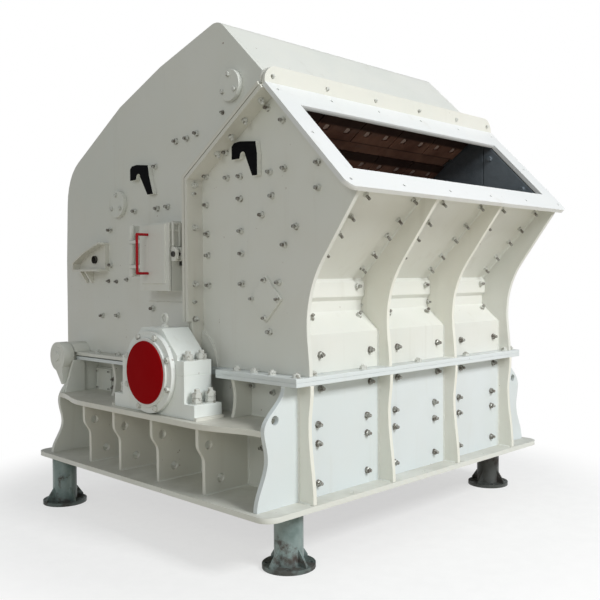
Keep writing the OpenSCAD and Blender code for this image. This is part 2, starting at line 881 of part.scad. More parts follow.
// half ring of the shaft seal on a front side plate
module seal_ring() {
    intersection() {
        plate_y(side_y - eps, seal_ring_t + eps)
            translate([rotor_x, joint_z])
                difference() {
                    circle(seal_ring_r);
                    circle(shaft_hole_r);
                }
        block([split_front + split_flange_t, side_y - 1, front_flange_top],
            [rotor_x + seal_ring_r + 1, side_y + seal_ring_t + 1, joint_z + seal_ring_r + 1]);
    }
}

module front_side() {
    edge = split_line(seal_gap / 2);
    color(cream) {
        difference() {
            plate_y(wall_in, side_t)
                polygon(concat([edge[0], edge[1], edge[2] - 22 * split_run],
                    [[stand_back - fit, feed_top_z - split_flange_t / tan(feed_slope) - fit]],
                    [feed_corner - [fit, fit]], rib_edge));
            bar_y(rotor_x, joint_z, upper_hole_r, wall_in - 1, joint_y);
        }
        seal_ring();
    }
}

module front_side_left() {
    mirror([0, 1, 0])
        front_side();
}

module front_side_right() {
    front_side();
}

// the bent panel, with a strip that laps its joint
module front_panel() {
    color(cream)
        plate_y(-wall_in, 2 * wall_in) {
            polygon(bent(panel_line, -panel_t));
            polygon(concat(strip_line, [[waist_x - panel_t / 2, strip_z], [waist_x - panel_t / 2, chute_z]]));
        }
}

module front_ribs() {
    color(cream)
        for (i = [-0.5, 0.5])
            plate_y(i * rib_pitch - rib_t / 2, rib_t)
                difference() {
                    polygon(concat(rib_edge, turned(panel_line)));
                    polygon(concat(strip_line, [[waist_x - panel_t, strip_z], [waist_x - panel_t, chute_z]]));
                }
}

module front_joint_flange() {
    color(cream)
        difference() {
            translate([0, 0, joint_z])
                linear_extrude(joint_flange_t)
                    joint_flange_plan(split_front, joint_x, split_front - 1, front_wall_x - panel_t, wall_in);
            bar_y(rotor_x, joint_z, upper_hole_r, -joint_y - 1, joint_y + 1);
        }
}

module feed_flange() {
    side_row = feed_y - feed_hole_in;
    color(cream)
        translate([feed_top_x, 0, feed_top_z])
            rotate([0, feed_slope, 0])
                translate([0, 0, -feed_flange_t])
                    linear_extrude(feed_flange_t)
                        difference() {
                            union() {
                                translate([0, -feed_y])
                                    square([feed_flange_l - feed_corner_r, 2 * feed_y]);
                                translate([0, -feed_y + feed_corner_r])
                                    square([feed_flange_l, 2 * (feed_y - feed_corner_r)]);
                                for (s = [-1, 1])
                                    translate([feed_flange_l - feed_corner_r, s * (feed_y - feed_corner_r)])
                                        circle(feed_corner_r);
                            }
                            translate([feed_open_top, -feed_w / 2])
                                square([feed_open_l, feed_w]);
                            for (u = [feed_hole_in, feed_flange_l - feed_hole_in])
                                for (i = [0:feed_hole_n - 1])
                                    translate([u, side_row * (2 * i / (feed_hole_n - 1) - 1)])
                                        circle(feed_hole_r);
                            for (s = [-1, 1])
                                translate([feed_flange_l / 2, s * side_row])
                                    circle(feed_hole_r);
                        }
}

// a flange plate that stands out along the split on one side; it is cut back over the bearing
module split_strip(d0, d1) {
    over_cap = joint_z + cap_h + 30;
    difference() {
        plate_y(side_y, split_out)
            polygon(concat(split_line(d0), turned(split_line(d1))));
        block([rotor_x - recess_l, bearing_in - 15, joint_z - 1], [rotor_x + recess_l, side_y + split_out + 1, over_cap]);
        bar_y(rotor_x, joint_z, upper_hole_r, side_y - 1, side_y + split_out + 1);
    }
}

// a cross plate that stands up over the full width, with rounded corners, cut along the line z = low
module standing_plate(x0, low) {
    intersection() {
        plate_y(-feed_y, 2 * feed_y)
            polygon(concat(low, [[x0 + split_flange_t, feed_top_z + stand_h], [x0, feed_top_z + stand_h]]));
        plate_x(x0 - 1, split_flange_t + 2)
            union() {
                translate([-feed_y, 0])
                    square([2 * feed_y, feed_top_z + stand_h - stand_r]);
                translate([stand_r - feed_y, 0])
                    square([2 * (feed_y - stand_r), feed_top_z + stand_h]);
                for (s = [-1, 1])
                    translate([s * (feed_y - stand_r), feed_top_z + stand_h - stand_r])
                        circle(stand_r);
            }
    }
}

module front_split_flange() {
    color(cream) {
        both_sides()
            split_strip(seal_gap / 2, seal_gap / 2 + split_flange_t);
        standing_plate(stand_back, [[stand_back, feed_top_z - split_flange_t / tan(feed_slope) + fit],
            [feed_top_x, feed_top_z + fit]]);
    }
}

// plates along the inside of the side plates' front part, with a seam behind the feed opening
module front_liners() {
    low = joint_z + liner_low;
    top = feed_corner.x + feed_corner.y - 12;
    chute = chute_z - waist_x + 45;
    seam = liner_seam_x + liner_seam / 2;
    wide = liner_seam_x - liner_seam / 2;
    color(iron)
        both_sides()
            plate_y(feed_w / 2, liner_t) {
                polygon([[split_front, low], [split_front, split_corner_z - 20], split_end - [32, 52],
                    [wide, top - wide], [wide, wide + chute], [waist_x - panel_t - 10, waist_x - panel_t - 10 + chute],
                    [waist_x - panel_t - 10, low]]);
                polygon([[seam, seam + chute], [seam, top - seam], [(top - chute) / 2, (top + chute) / 2]]);
            }
}

// a lifting hook: a nose over a round throat, and a shank that runs down
module hook_plate(c, spread) {
    translate(c)
        difference() {
            polygon([[-92, -nose_low], [-92, hook_top - 22], [-72, hook_top - 5], [-20, hook_top],
                [106, hook_top - 14], [118, 0], [118 + spread, -hook_low], [76 + spread / 2, -hook_low],
                [throat_r, 0], [-throat_r, 0], [-throat_r - 4, -nose_low]]);
            circle(throat_r);
        }
}

module front_hooks() {
    color(black)
        both_sides()
            plate_y(side_y, hook_t)
                hook_plate([front_hook_x, front_hook_z], 0);
}

// square covers that stand on their corner
module diamond_covers() {
    color(cream)
        both_sides()
            plate_y(side_y, cover_plate_t)
                translate([cover_plate_x, cover_plate_z])
                    rotate(45)
                        square(cover_plate_w, center = true);
}

// ---------------------------------------------------------------- bearings

// the cap's outline has chamfered shoulders above its feet
module bearing_caps() {
    right = [[cap_foot_l, 0], [cap_foot_l, cap_foot_h], [cap_half, cap_foot_h],
        [cap_half, cap_h - cap_half + cap_flat], [cap_flat, cap_h]];
    color(cream)
        both_sides()
            difference() {
                plate_y(bearing_in, bearing_d)
                    translate([rotor_x, joint_z])
                        polygon(concat(right, [for (p = turned(right)) [-p.x, p.y]]));
                bar_y(rotor_x, joint_z, shaft_r + shaft_clear, bearing_in - 1, bearing_y + 1);
            }
}

module bearing_bases() {
    color(cream)
        both_sides()
            difference() {
                plate_y(bearing_in, bearing_d)
                    union() {
                        translate([rotor_x - base_foot_l, shelf_z])
                            square([2 * base_foot_l, base_foot_h]);
                        translate([rotor_x - cap_foot_l, shelf_z])
                            square([2 * cap_foot_l, joint_z - shelf_z]);
                    }
                bar_y(rotor_x, joint_z, shaft_r + shaft_clear, bearing_in - 1, bearing_y + 1);
            }
}

// a round end cover with a raised middle
module end_cover() {
    bar_y(rotor_x, joint_z, cover_r, bearing_y, bearing_y + cover_t);
    bar_y(rotor_x, joint_z, cover_mid_r, bearing_y + cover_t - eps, cover_y);
}

module bearing_cover_left() {
    color(red)
        mirror([0, 1, 0]) {
            end_cover();
            bar_y(rotor_x, joint_z, disc_cap_r, cover_y - eps, cover_y + disc_cap_t);
        }
}

module bearing_cover_right() {
    color(cream)
        difference() {
            end_cover();
            bar_y(rotor_x, joint_z, stub_r + 8, bearing_y - 1, cover_y + 1);
        }
}

// ---------------------------------------------------------------- hinge

// a lug on the end wall's wing tapers up into the hinge's boss
module hinge_lugs() {
    foot_z = hinge.y - lug_drop;
    color(cream)
        both_sides() {
            bar_y(hinge.x, hinge.y, hinge_boss_r, lug_y, hinge_y);
            plate_y(lug_y, hinge_boss_w)
                polygon([[hinge.x - hinge_boss_r, hinge.y], [-rear_wall_x - 14, foot_z],
                    [-rear_wall_x, foot_z], [-rear_wall_x, hinge.y - 40], hinge]);
            bar_y(hinge.x, hinge.y, hinge_pin_r, side_y + 5, hinge_y + 12);
            for (y = [lug_y - 3, hinge_y])
                bar_y(hinge.x, hinge.y, hinge_boss_r - 30, y, y + 3);
        }
}

// the housing's knuckle and the arm that joins it to the side plate
module hinge_knuckles() {
    color(cream)
        both_sides()
            difference() {
                union() {
                    bar_y(hinge.x, hinge.y, knuckle_r, knuckle_y, knuckle_y + knuckle_w);
                    bar_y(hinge.x, hinge.y, knuckle_r - 12, side_y, knuckle_y + 1);
                    intersection() {
                        bar_y(hinge.x, hinge.y, arm_r, side_y, knuckle_y + knuckle_w);
                        block([hinge.x - 100, side_y, rear_bottom + fit], [hinge.x + 100, joint_y + 100, joint_z + 100]);
                    }
                }
                bar_y(hinge.x, hinge.y, hinge_pin_r + pin_clear, side_y - 1, knuckle_y + knuckle_w + 1);
            }
}

// ---------------------------------------------------------------- rear housing

module rear_side() {
    edge = split_line(-seal_gap / 2);
    color(cream)
        difference() {
            plate_y(wall_in, side_t)
                polygon(concat([edge[0]], [for (i = [1:len(shell) - 1]) shell[i]], [edge[2], edge[1]]));
            bar_y(rotor_x, joint_z, upper_hole_r, wall_in - 1, joint_y);
            for (p = [upper_pivot, lower_pivot])
                bar_y(p.x, p.y, pivot_r + pivot_clear, wall_in - 1, joint_y);
            bar_y(hinge.x, hinge.y, knuckle_r + 4, wall_in - 1, joint_y);
        }
}

module rear_side_left() {
    mirror([0, 1, 0])
        rear_side();
}

module rear_side_right() {
    rear_side();
}

module rear_wall() {
    color(cream)
        plate_y(-wall_in, 2 * wall_in)
            polygon(concat([for (i = [0:eave_i]) shell[i]], turned([for (i = [0:eave_i]) shell_in[i]])));
}

module roof() {
    last = len(shell) - 1;
    color(cream)
        plate_y(-wall_in, 2 * wall_in)
            polygon(concat([for (i = [eave_i:last]) shell[i]], turned([for (i = [eave_i:last]) shell_in[i]])));
}

module rear_joint_flange() {
    color(cream)
        difference() {
            translate([0, 0, rear_flange_z])
                linear_extrude(joint_flange_t)
                    joint_flange_plan(-rear_wall_x, split_rear, 60 - rear_wall_x, split_rear + 1, wall_in);
            bar_y(rotor_x, joint_z, upper_hole_r, -joint_y - 1, joint_y + 1);
        }
}

module rear_split_flange() {
    fall = (shell[len(shell) - 2].y - roof_front.y) / (roof_front.x - shell[len(shell) - 2].x);
    color(cream) {
        both_sides()
            split_strip(-seal_gap / 2 - split_flange_t, -seal_gap / 2);
        standing_plate(roof_front.x - split_flange_t,
            [roof_front + [-split_flange_t, split_flange_t * fall + fit], roof_front + [0, fit]]);
    }
}

// plates along the inside of the side plates' rear part
module rear_liners() {
    low = joint_z + liner_low;
    color(iron)
        both_sides()
            plate_y(feed_w / 2, liner_t)
                polygon([[-lower_face_x, low], [-lower_face_x, lower_face_z - 80], [split_rear, split_corner_z - 130],
                    [split_rear, low]]);
}

module rear_hooks() {
    color(black)
        both_sides()
            plate_y(side_y, hook_t)
                hook_plate([-rear_hook_x, rear_hook_z], 40);
}

module pivot_covers() {
    color(cream)
        both_sides()
            for (p = [upper_pivot, lower_pivot])
                bar_y(p.x, p.y, pivot_cover_r, side_y, side_y + pivot_cover_t);
}

// A curtain hangs from its pivot shaft on three arms. Its back plate carries rows of wear plates,
// each with a ledge below it, a square pocket at every bolt and a groove at every second pocket.
// It is drawn down its slope from the top of its face, with the back plate behind the face.
module curtain(top, slope, rows, pivot) {
    pitch = 2 * curtain_y / pocket_n;
    length = rows * row_h;
    plate_h = row_h - row_ledge;
    color(iron) {
        translate([top.x, 0, top.y])
            rotate([0, 180 - slope, 0])
                mirror([0, 0, 1])
                    difference() {
                        plate_y(-curtain_y, 2 * curtain_y)
                            union() {
                                translate([0, row_step])
                                    square([length, wear_t + back_t - row_step]);
                                for (i = [0:rows - 1])
                                    translate([i * row_h, 0])
                                        square([plate_h, wear_t]);
                            }
                        for (i = [0:rows - 1]) {
                            for (j = [0:pocket_n - 1])
                                translate([i * row_h + plate_h - pocket_low - pocket_w,
                                    (j + 0.5) * pitch - curtain_y - pocket_w / 2, -1])
                                    cube([pocket_w, pocket_w, pocket_d + 1]);
                            for (j = [2:2:pocket_n - 2])
                                translate([i * row_h - 1, j * pitch - curtain_y - groove_w / 2, -1])
                                    cube([plate_h + 2, groove_w, row_step + 1]);
                        }
                    }
        bar_y(pivot.x, pivot.y, pivot_r, -side_y, side_y);
    }
}

// three arms run from the back plate to a boss round the pivot shaft
module arms(pivot, a, b) {
    r = pivot_r + arm_boss;
    color(iron)
        for (y = [-curtain_y + 60, -arm_t / 2, curtain_y - 60 - arm_t])
            plate_y(y, arm_t)
                union() {
                    polygon([a, b, pivot + r * side_step(pivot - b), pivot - r * side_step(pivot - a)]);
                    translate(pivot)
                        circle(r);
                }
}

// a point on a curtain's back, u down its slope from the top of its face
function back_point(top, slope, u) = top + u * [-cos(slope), -sin(slope)] + (wear_t + back_t - 5) * [-sin(slope), cos(slope)];

module upper_curtain() {
    top = [upper_face_x, upper_face_z];
    curtain(top, upper_slope, 5, upper_pivot);
    arms(upper_pivot, back_point(top, upper_slope, 150), back_point(top, upper_slope, 560));
}

module lower_curtain() {
    top = [-lower_face_x, lower_face_z];
    curtain(top, lower_slope, 2, lower_pivot);
    arms(lower_pivot, back_point(top, lower_slope, 30), back_point(top, lower_slope, 300));
}

// ---------------------------------------------------------------- cylinder bracket

// a web with the pin hole, an arched rim, and a shelf with two ribs below it
module cylinder_bracket() {
    x0 = -bracket_x;
    rise = bracket_z + bracket_rise;
    top = bracket_z + bracket_h;
    rim = concat([[x0, bracket_z]],
        bend([x0, rise], [x0 + 0.42 * bracket_l, rise + 0.65 * (top - rise)], [bracket_end, top]));
    plate_y(side_y, bracket_web_t)
        difference() {
            polygon(concat(rim, [[bracket_end, bracket_z]]));
            translate(bracket_eye)
                circle(bracket_eye_r);
        }
    plate_y(side_y, bracket_d)
        polygon(bent(rim, -bracket_t));
    block([x0, side_y, bracket_z - bracket_t], [bracket_end, side_y + bracket_d, bracket_z + eps]);
    for (x = [60, 125])
        plate_x(x0 + x, bracket_t)
            polygon([[side_y, bracket_z - bracket_t / 2], [side_y + bracket_d - 15, bracket_z - bracket_t / 2],
                [side_y + 15, bracket_z - 90], [side_y, bracket_z - 90]]);
}

module cylinder_brackets() {
    color(cream)
        both_sides()
            cylinder_bracket();
}

// ---------------------------------------------------------------- door

door_face = side_y + door_box_d;
door_left = -door_x;
door_right = door_w - door_x;
door_top = door_z + door_h;
door_pin = [door_left - door_pin_off, door_face - 5];
box_y = door_face - door_gap;

// a vertical bar at the door's hinge
module hinge_bar(r, z0, z1) {
    translate([door_pin.x, door_pin.y, z0])
        cylinder(h = z1 - z0, r = r);
}

// a box on a pad, the hinge's pin and barrels on their plate, and the wedge of the latch
module door_frame() {
    low = door_z + strap_z[0] - barrel_over;
    gaps = [for (z = strap_z) door_z + z - barrel_gap];
    color(cream)
        mirror([0, 1, 0]) {
            difference() {
                union() {
                    block([door_left, side_y, door_z], [door_right, box_y, door_top]);
                    block([door_left - pad_side, side_y, door_z - pad_margin], [door_right, side_y + pad_t, door_top]);
                }
                block([door_left + door_box_t, side_y - 1, door_z + door_box_t],
                    [door_right - door_box_t, box_y + 1, door_top - door_box_t]);
                block([door_right - door_box_t - 1, side_y + 22, door_z + 147], [door_right + 1, side_y + 56, door_z + 247]);
            }
            block([door_pin.x - 7, side_y, low], [door_pin.x + 7, door_pin.y - barrel_r - 2, door_top]);
            difference() {
                union() {
                    block([door_pin.x - 7, door_pin.y - barrel_r - 3, low], [door_pin.x + 7, door_pin.y, door_top]);
                    hinge_bar(barrel_r, low, door_top);
                }
                for (z = gaps)
                    translate([door_pin.x, door_pin.y, z])
                        cylinder(h = strap_h + 2 * barrel_gap, r = barrel_r + 2);
            }
            hinge_bar(door_pin_r, low - 4, door_top + 6);
            plate_x(door_right, wedge_t)
                polygon([[box_y - wedge_w + 16, door_z + wedge_z], [box_y - 10, door_z + wedge_z],
                    [box_y, door_z + wedge_z + wedge_l], [box_y - wedge_w, door_z + wedge_z + wedge_l]]);
            for (z = [door_z + wedge_z + 24, door_z + wedge_z + wedge_l - 60])
                block([door_right, box_y - wedge_w - 8, z], [door_right + wedge_t + 10, box_y, z + 14]);
        }
}

// a door with a raised panel and two straps that end in eyes round the hinge's pin
module door() {
    color(cream)
        mirror([0, 1, 0])
            difference() {
                union() {
                    block([door_left, door_face, door_z], [door_right, door_face + door_t, door_top]);
                    block([door_left + door_margin, door_face, door_z + door_margin + 15],
                        [door_right - door_margin, door_face + door_t + door_panel_t, door_top - door_margin + 20]);
                    for (z = strap_z) {
                        block([door_pin.x, door_face + door_t - strap_t, door_z + z],
                            [door_left + 5, door_face + door_t, door_z + z + strap_h]);
                        hinge_bar(barrel_r, door_z + z, door_z + z + strap_h);
                    }
                }
                hinge_bar(door_pin_r + pin_clear, door_z, door_top);
            }
}

module door_handle() {
    face = door_face + door_t + door_panel_t;
    x = door_left + handle_x;
    z0 = door_z + handle_z;
    color(red)
        mirror([0, 1, 0]) {
            translate([x, face + handle_d, z0])
                cylinder(h = handle_l, r = handle_r);
            for (z = [z0, z0 + handle_l]) {
                bar_y(x, z, handle_r, face, face + handle_d);
                translate([x, face + handle_d, z])
                    sphere(handle_r);
            }
        }
}

// ---------------------------------------------------------------- rotor

module rotor_shaft() {
    color("silver") {
        bar_y(rotor_x, joint_z, shaft_body_r, 15 - base_wall_in, base_wall_in - 15);
        bar_y(rotor_x, joint_z, shaft_r, -bearing_y + 5, bearing_y - 5);
        bar_y(rotor_x, joint_z, stub_r + 4, bearing_y - 6, cover_y);
        bar_y(rotor_x, joint_z, stub_r, cover_y - eps, cover_y + stub_l);
    }
}

// discs with a hollow behind each hammer bar
module rotor_discs() {
    pitch = (rotor_w - disc_t) / (disc_n - 1);
    turn = 360 / hammer_n;
    color(iron)
        difference() {
            for (i = [0:disc_n - 1])
                plate_y(i * pitch - rotor_w / 2, disc_t)
                    translate([rotor_x, joint_z])
                        difference() {
                            circle(disc_r);
                            circle(shaft_body_r);
                            for (a = [0:hammer_n - 1])
                                rotate(a * turn + turn / 2 - 45)
                                    translate([disc_r + scallop_r * 0.35, 0])
                                        circle(scallop_r);
                        }
            hammer_set(2);
        }
}

// bars with a thicker striking lip
module hammer_set(grow) {
    translate([rotor_x, 0, joint_z])
        for (i = [0:hammer_n - 1])
            rotate([0, 45 + i * 360 / hammer_n, 0])
                plate_y(-rotor_w / 2 - grow, rotor_w + 2 * grow)
                    union() {
                        translate([rotor_r - hammer_d, -hammer_t / 2 - grow])
                            square([hammer_d, hammer_t + 2 * grow]);
                        translate([rotor_r - hammer_lip_d, -hammer_t / 2 - grow])
                            square([hammer_lip_d, hammer_lip + 2 * grow]);
                    }
}

module hammers() {
    color(iron)
        hammer_set(0);
}

base_flange();
base_front_wall();
base_rear_wall();
base_side_walls();
base_front_ribs();
bearing_shelves();
side_ribs();
base_joint_flange();
front_legs();
rear_legs();
front_side_left();
front_side_right();
front_panel();
front_ribs();
front_joint_flange();
feed_flange();
front_split_flange();
front_liners();
front_hooks();
diamond_covers();
bearing_bases();
bearing_caps();
bearing_cover_left();
bearing_cover_right();
hinge_lugs();
rear_side_left();
rear_side_right();
rear_wall();
roof();
rear_joint_flange();
rear_split_flange();
rear_liners();
rear_hooks();
hinge_knuckles();
upper_curtain();
lower_curtain();
pivot_covers();
cylinder_brackets();
door_frame();
door();
door_handle();
rotor_shaft();
rotor_discs();
hammers();
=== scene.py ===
import math

import bmesh
import bpy
from mathutils import Matrix, Vector


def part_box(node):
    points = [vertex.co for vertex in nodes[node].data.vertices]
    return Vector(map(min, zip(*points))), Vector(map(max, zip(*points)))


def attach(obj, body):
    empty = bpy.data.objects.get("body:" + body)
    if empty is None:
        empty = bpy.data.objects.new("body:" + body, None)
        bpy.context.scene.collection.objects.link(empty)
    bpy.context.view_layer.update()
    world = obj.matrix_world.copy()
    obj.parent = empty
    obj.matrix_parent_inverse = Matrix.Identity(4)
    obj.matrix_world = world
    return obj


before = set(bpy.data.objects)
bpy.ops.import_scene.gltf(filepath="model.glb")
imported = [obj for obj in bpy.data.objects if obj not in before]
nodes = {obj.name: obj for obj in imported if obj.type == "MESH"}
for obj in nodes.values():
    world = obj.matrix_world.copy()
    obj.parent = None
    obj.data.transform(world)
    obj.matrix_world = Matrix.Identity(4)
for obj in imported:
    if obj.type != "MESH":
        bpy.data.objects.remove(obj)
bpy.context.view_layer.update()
scene = bpy.context.scene
scene.view_settings.view_transform = "Standard"


# ---- Camera
# A 48 mm lens at eye height, off the corner between the feed side and the
# side with the closed bearing. It leans by a third of a degree.
eye = (3.959, -3.812, 1.48)
azimuth, dip, lean = (math.radians(angle) for angle in (43.911, 1.344, -0.323))
lens = bpy.data.cameras.new("camera")
lens.sensor_width, lens.lens = 36, 48.2898
lens.shift_x, lens.shift_y = -0.038166667, -0.0080833333
camera = bpy.data.objects.new("camera", lens)
back = Vector((math.sin(azimuth) * math.cos(dip), -math.cos(azimuth) * math.cos(dip), math.sin(dip)))
across = Vector((math.cos(azimuth), math.sin(azimuth), 0))
aim = Matrix((across, back.cross(across), back)).transposed() @ Matrix.Rotation(lean, 3, "Z")
camera.matrix_world = Matrix.Translation(eye) @ aim.to_4x4()
scene.collection.objects.link(camera)
scene.camera = camera


# ---- Light
# One broad lamp high on the feed side and a weak one on the bearing side,
# both aimed at the middle of the machine. The feed side is the brighter.
machine_middle = Vector((0, 0, 1.3))


def lamp(name, place, size, watts, colour):
    light = bpy.data.lights.new(name, "AREA")
    light.size, light.energy, light.color = size, watts, colour
    stand = bpy.data.objects.new(name, light)
    stand.location = place
    stand.rotation_euler = (machine_middle - Vector(place)).to_track_quat("-Z", "Y").to_euler()
    scene.collection.objects.link(stand)


lamp("feed_lamp", (8.5, 0.2, 6.5), 2.6, 655, (0.975, 0.99, 1))
lamp("side_lamp", (3.5, -8.5, 5), 3, 91, (0.96, 1, 0.96))


# ---- Floor
# A level yard of pale grit. What looks at it straight sees it bleached, and
# fading to plain white a short way out from the machine.
class Value:
    """A socket of a shader. Arithmetic on it adds Math nodes."""

    def __init__(self, shader, socket):
        self.shader, self.socket = shader, socket

    def maths(self, operation, *others):
        return self.shader.node("ShaderNodeMath", dict(operation=operation), self, *others)

    def __add__(self, other):
        return self.maths("ADD", other)

    def __sub__(self, other):
        return self.maths("SUBTRACT", other)

    def __rsub__(self, other):
        return self.shader.node("ShaderNodeMath", dict(operation="SUBTRACT"), other, self)

    def __mul__(self, other):
        return self.maths("MULTIPLY", other)

    __radd__, __rmul__ = __add__, __mul__


class Shader:
    """A node tree. node() adds one node: its type, its settings, then its inputs in order or by name."""

    def __init__(self, tree):
        self.tree = tree

    def put(self, socket, value):
        if isinstance(value, Value):
            self.tree.links.new(value.socket, socket)
        elif isinstance(value, tuple) and len(value) == 3 and socket.type == "RGBA":
            socket.default_value = (*value, 1)
        else:
            socket.default_value = value

    def node(self, kind, settings, *inputs, out=None, **named):
        added = self.tree.nodes.new(kind)
        for name, value in settings.items():
            setattr(added, name, value)
        open_inputs = [socket for socket in added.inputs if socket.enabled]
        for socket, value in zip(open_inputs, inputs):
            self.put(socket, value)
        for name, value in named.items():
            self.put(next(s for s in open_inputs if s.name == name.replace("_", " ")), value)
        outputs = [socket for socket in added.outputs if socket.enabled]
        return Value(self, outputs[0] if out is None else next(s for s in outputs if s.name == out))

    def ray(self, kind):
        return self.node("ShaderNodeLightPath", {}, out=f"Is {kind} Ray")


class Finish(Shader):
    """A material: one Principled shader, and the patterns that feed it."""

    def __init__(self, name, **fixed):
        self.material = bpy.data.materials.new(name)
        self.material.use_nodes = True
        super().__init__(self.material.node_tree)
        self.skin = self.tree.nodes["Principled BSDF"]
        self.feed(**fixed)

    def feed(self, **inputs):
        for name, value in inputs.items():
            self.put(self.skin.inputs[name.replace("_", " ")], value)

    def place(self):
        return self.node("ShaderNodeTexCoord", {}, out="Object")

    def along(self, axis, vector=None):
        """One coordinate of a vector, or of the place on the piece."""
        return self.node("ShaderNodeSeparateXYZ", {}, vector or self.place(), out=axis)

    def noise(self, scale, detail=4.0, rough=0.55, stretch=None):
        place = self.place()
        if stretch:
            place = self.node("ShaderNodeMapping", {}, place, Scale=stretch)
        return self.node("ShaderNodeTexNoise", {}, place, Scale=scale, Detail=detail, Roughness=rough)

    def between(self, value, low, high, at_low=0.0, at_high=1.0):
        """Goes smoothly from at_low to at_high as the value goes from low to high."""
        smooth = dict(interpolation_type="SMOOTHSTEP")
        return self.node("ShaderNodeMapRange", smooth, value, low, high, at_low, at_high)

    def mix(self, share, ground, over):
        """A colour laid over a ground, by its share."""
        return self.node("ShaderNodeMix", dict(data_type="RGBA"), share, ground, over)

    def bump(self, height, strength, distance):
        self.feed(Normal=self.node("ShaderNodeBump", {}, Strength=strength, Distance=distance, Height=height))


def seen(shader):
    """1 for what looks straight at a surface, or sees it in metal or glass."""
    polished = shader.ray("Glossy").maths("MAXIMUM", shader.ray("Transmission"))
    return shader.ray("Camera").maths("MAXIMUM", polished)


yard_half = 15.0
fade_from, fade_to = 1.75, 2.7
yard = Finish("yard", Roughness=0.9)
straight = seen(yard)
pale = yard.mix(yard.between(yard.noise(9.0, 6.0), 0.3, 0.7), (0.9, 0.9, 0.89), (0.95, 0.95, 0.94))
yard.feed(Base_Color=yard.mix(straight, (0.6, 0.55, 0.45), pale))
distance = yard.node("ShaderNodeVectorMath", dict(operation="LENGTH"), yard.place())
fade = yard.between(distance, fade_from, fade_to, 0.6, 1.0) * straight
glow = yard.node("ShaderNodeEmission", {}, (1, 1, 1), 1)
surface = yard.node("ShaderNodeMixShader", {}, fade, Value(yard, yard.skin.outputs[0]), glow)
yard.put(yard.tree.nodes["Material Output"].inputs["Surface"], surface)
ground = bpy.data.meshes.new("floor")
ground.from_pydata([(x * yard_half, y * yard_half, 0) for x, y in ((-1, -1), (1, -1), (1, 1), (-1, 1))],
    [], [(0, 1, 2, 3)])
ground.materials.append(yard.material)
floor = bpy.data.objects.new("floor", ground)
scene.collection.objects.link(floor)


# ---- Sky
# An even, slightly blue overcast sky lights the yard from all sides. What
# looks at it straight sees white.
sky = bpy.data.worlds.new("sky")
sky.use_nodes = True
scene.world = sky
air = Shader(sky.node_tree)
overcast = air.tree.nodes["Background"]
air.put(overcast.inputs["Color"], (0.95, 0.98, 1))
air.put(overcast.inputs["Strength"], 0.33)
white = air.node("ShaderNodeBackground", {}, (1, 1, 1), 1)
sight = air.node("ShaderNodeMixShader", {}, air.ray("Camera"), Value(air, overcast.outputs[0]), white)
air.put(air.tree.nodes["World Output"].inputs["Surface"], sight)


# ---- Plate edges
# The housings are welded from flame-cut plate. Every sharp edge is ground
# off, and flush joints between plates are dressed until they don't show.
def grind(piece, width):
    edge = piece.modifiers.new("edge", "BEVEL")
    edge.width, edge.segments, edge.use_clamp_overlap = width, 2, True
    edge.limit_method, edge.angle_limit = "ANGLE", math.radians(40)


for node in nodes.values():
    weld = node.modifiers.new("weld", "WELD")
    weld.merge_threshold = 0.00005
    flat = node.modifiers.new("flat", "DECIMATE")
    flat.decimate_type, flat.angle_limit = "DISSOLVE", math.radians(1)
    grind(node, 0.0025)


# ---- Cream enamel
# The welded steel is sprayed with a thick cream enamel: slightly uneven in
# tone, dusty on what lies level, with thin rain runs and a few bare chips.
def shade(colour, *scale):
    return tuple(c * s for c, s in zip(colour, scale))


def enamel(name, colour, dust=0.5):
    coat = Finish(name, Coat_Roughness=0.35)
    cloud = coat.noise(5.0, 5.0)
    tone = coat.mix(coat.between(coat.noise(0.9, 3.0), 0.35, 0.65), colour, shade(colour, 0.95, 0.965, 0.955))
    tone = coat.mix(coat.between(cloud, 0.35, 0.75, 0.0, 0.5), tone, shade(colour, 0.965, 0.955, 0.93))
    # rain has drawn the dust into thin runs down the upright plates
    runs = coat.between(coat.noise(1.6, 4.0, stretch=(7.0, 7.0, 0.55)), 0.58, 0.78)
    tone = coat.mix(runs * 0.16, tone, (0.48, 0.44, 0.35))
    # dust lies on what is level
    level = coat.along("Z", coat.node("ShaderNodeNewGeometry", {}, out="Normal"))
    lying = coat.between(level, 0.8, 0.97) * coat.between(coat.noise(3.5, 6.0), 0.25, 0.7, 0.25, 1.0)
    tone = coat.mix(lying * dust, tone, (0.3, 0.28, 0.22))
    # chips show primer and rust
    chip = coat.between(coat.noise(34.0, 3.0), 0.735, 0.75) * coat.between(coat.noise(2.3, 2.0), 0.5, 0.62)
    coat.tone = coat.mix(chip * 0.8, tone, (0.22, 0.13, 0.08))
    coat.gloss = coat.between(cloud, 0.3, 0.7, 0.36, 0.5)
    coat.feed(Base_Color=coat.tone, Roughness=coat.gloss + lying * 0.3, Coat_Weight=0.25)
    coat.bump(coat.noise(160.0, 2.0) * 0.25 + coat.noise(14.0, 2.0) * 0.75, strength=0.35, distance=0.0015)
    return coat


def paint(finish, *names):
    for name in names:
        nodes[name].data.materials.clear()
        nodes[name].data.materials.append(finish.material)


housing_cream = (0.79, 0.795, 0.75)
cream = enamel("cream_enamel", housing_cream, dust=0.4)
paint(cream, *nodes)
# the plates round the feed opening have the newest coat
paint(enamel("fresh_enamel", (0.83, 0.84, 0.84), dust=0.2), "feed_flange")
# the side ribs, brackets and standing flanges are a shade deeper
paint(enamel("deep_enamel", (0.76, 0.75, 0.69)),
    "front_split_flange", "rear_split_flange", "side_ribs", "bearing_shelves", "cylinder_brackets")
# the lower feed side is painted a cooler white: a painted reflection of the sky
paint(enamel("sky_tinted_enamel", (0.75, 0.795, 0.81), dust=0.3),
    "base_front_wall", "base_joint_flange", "front_joint_flange")
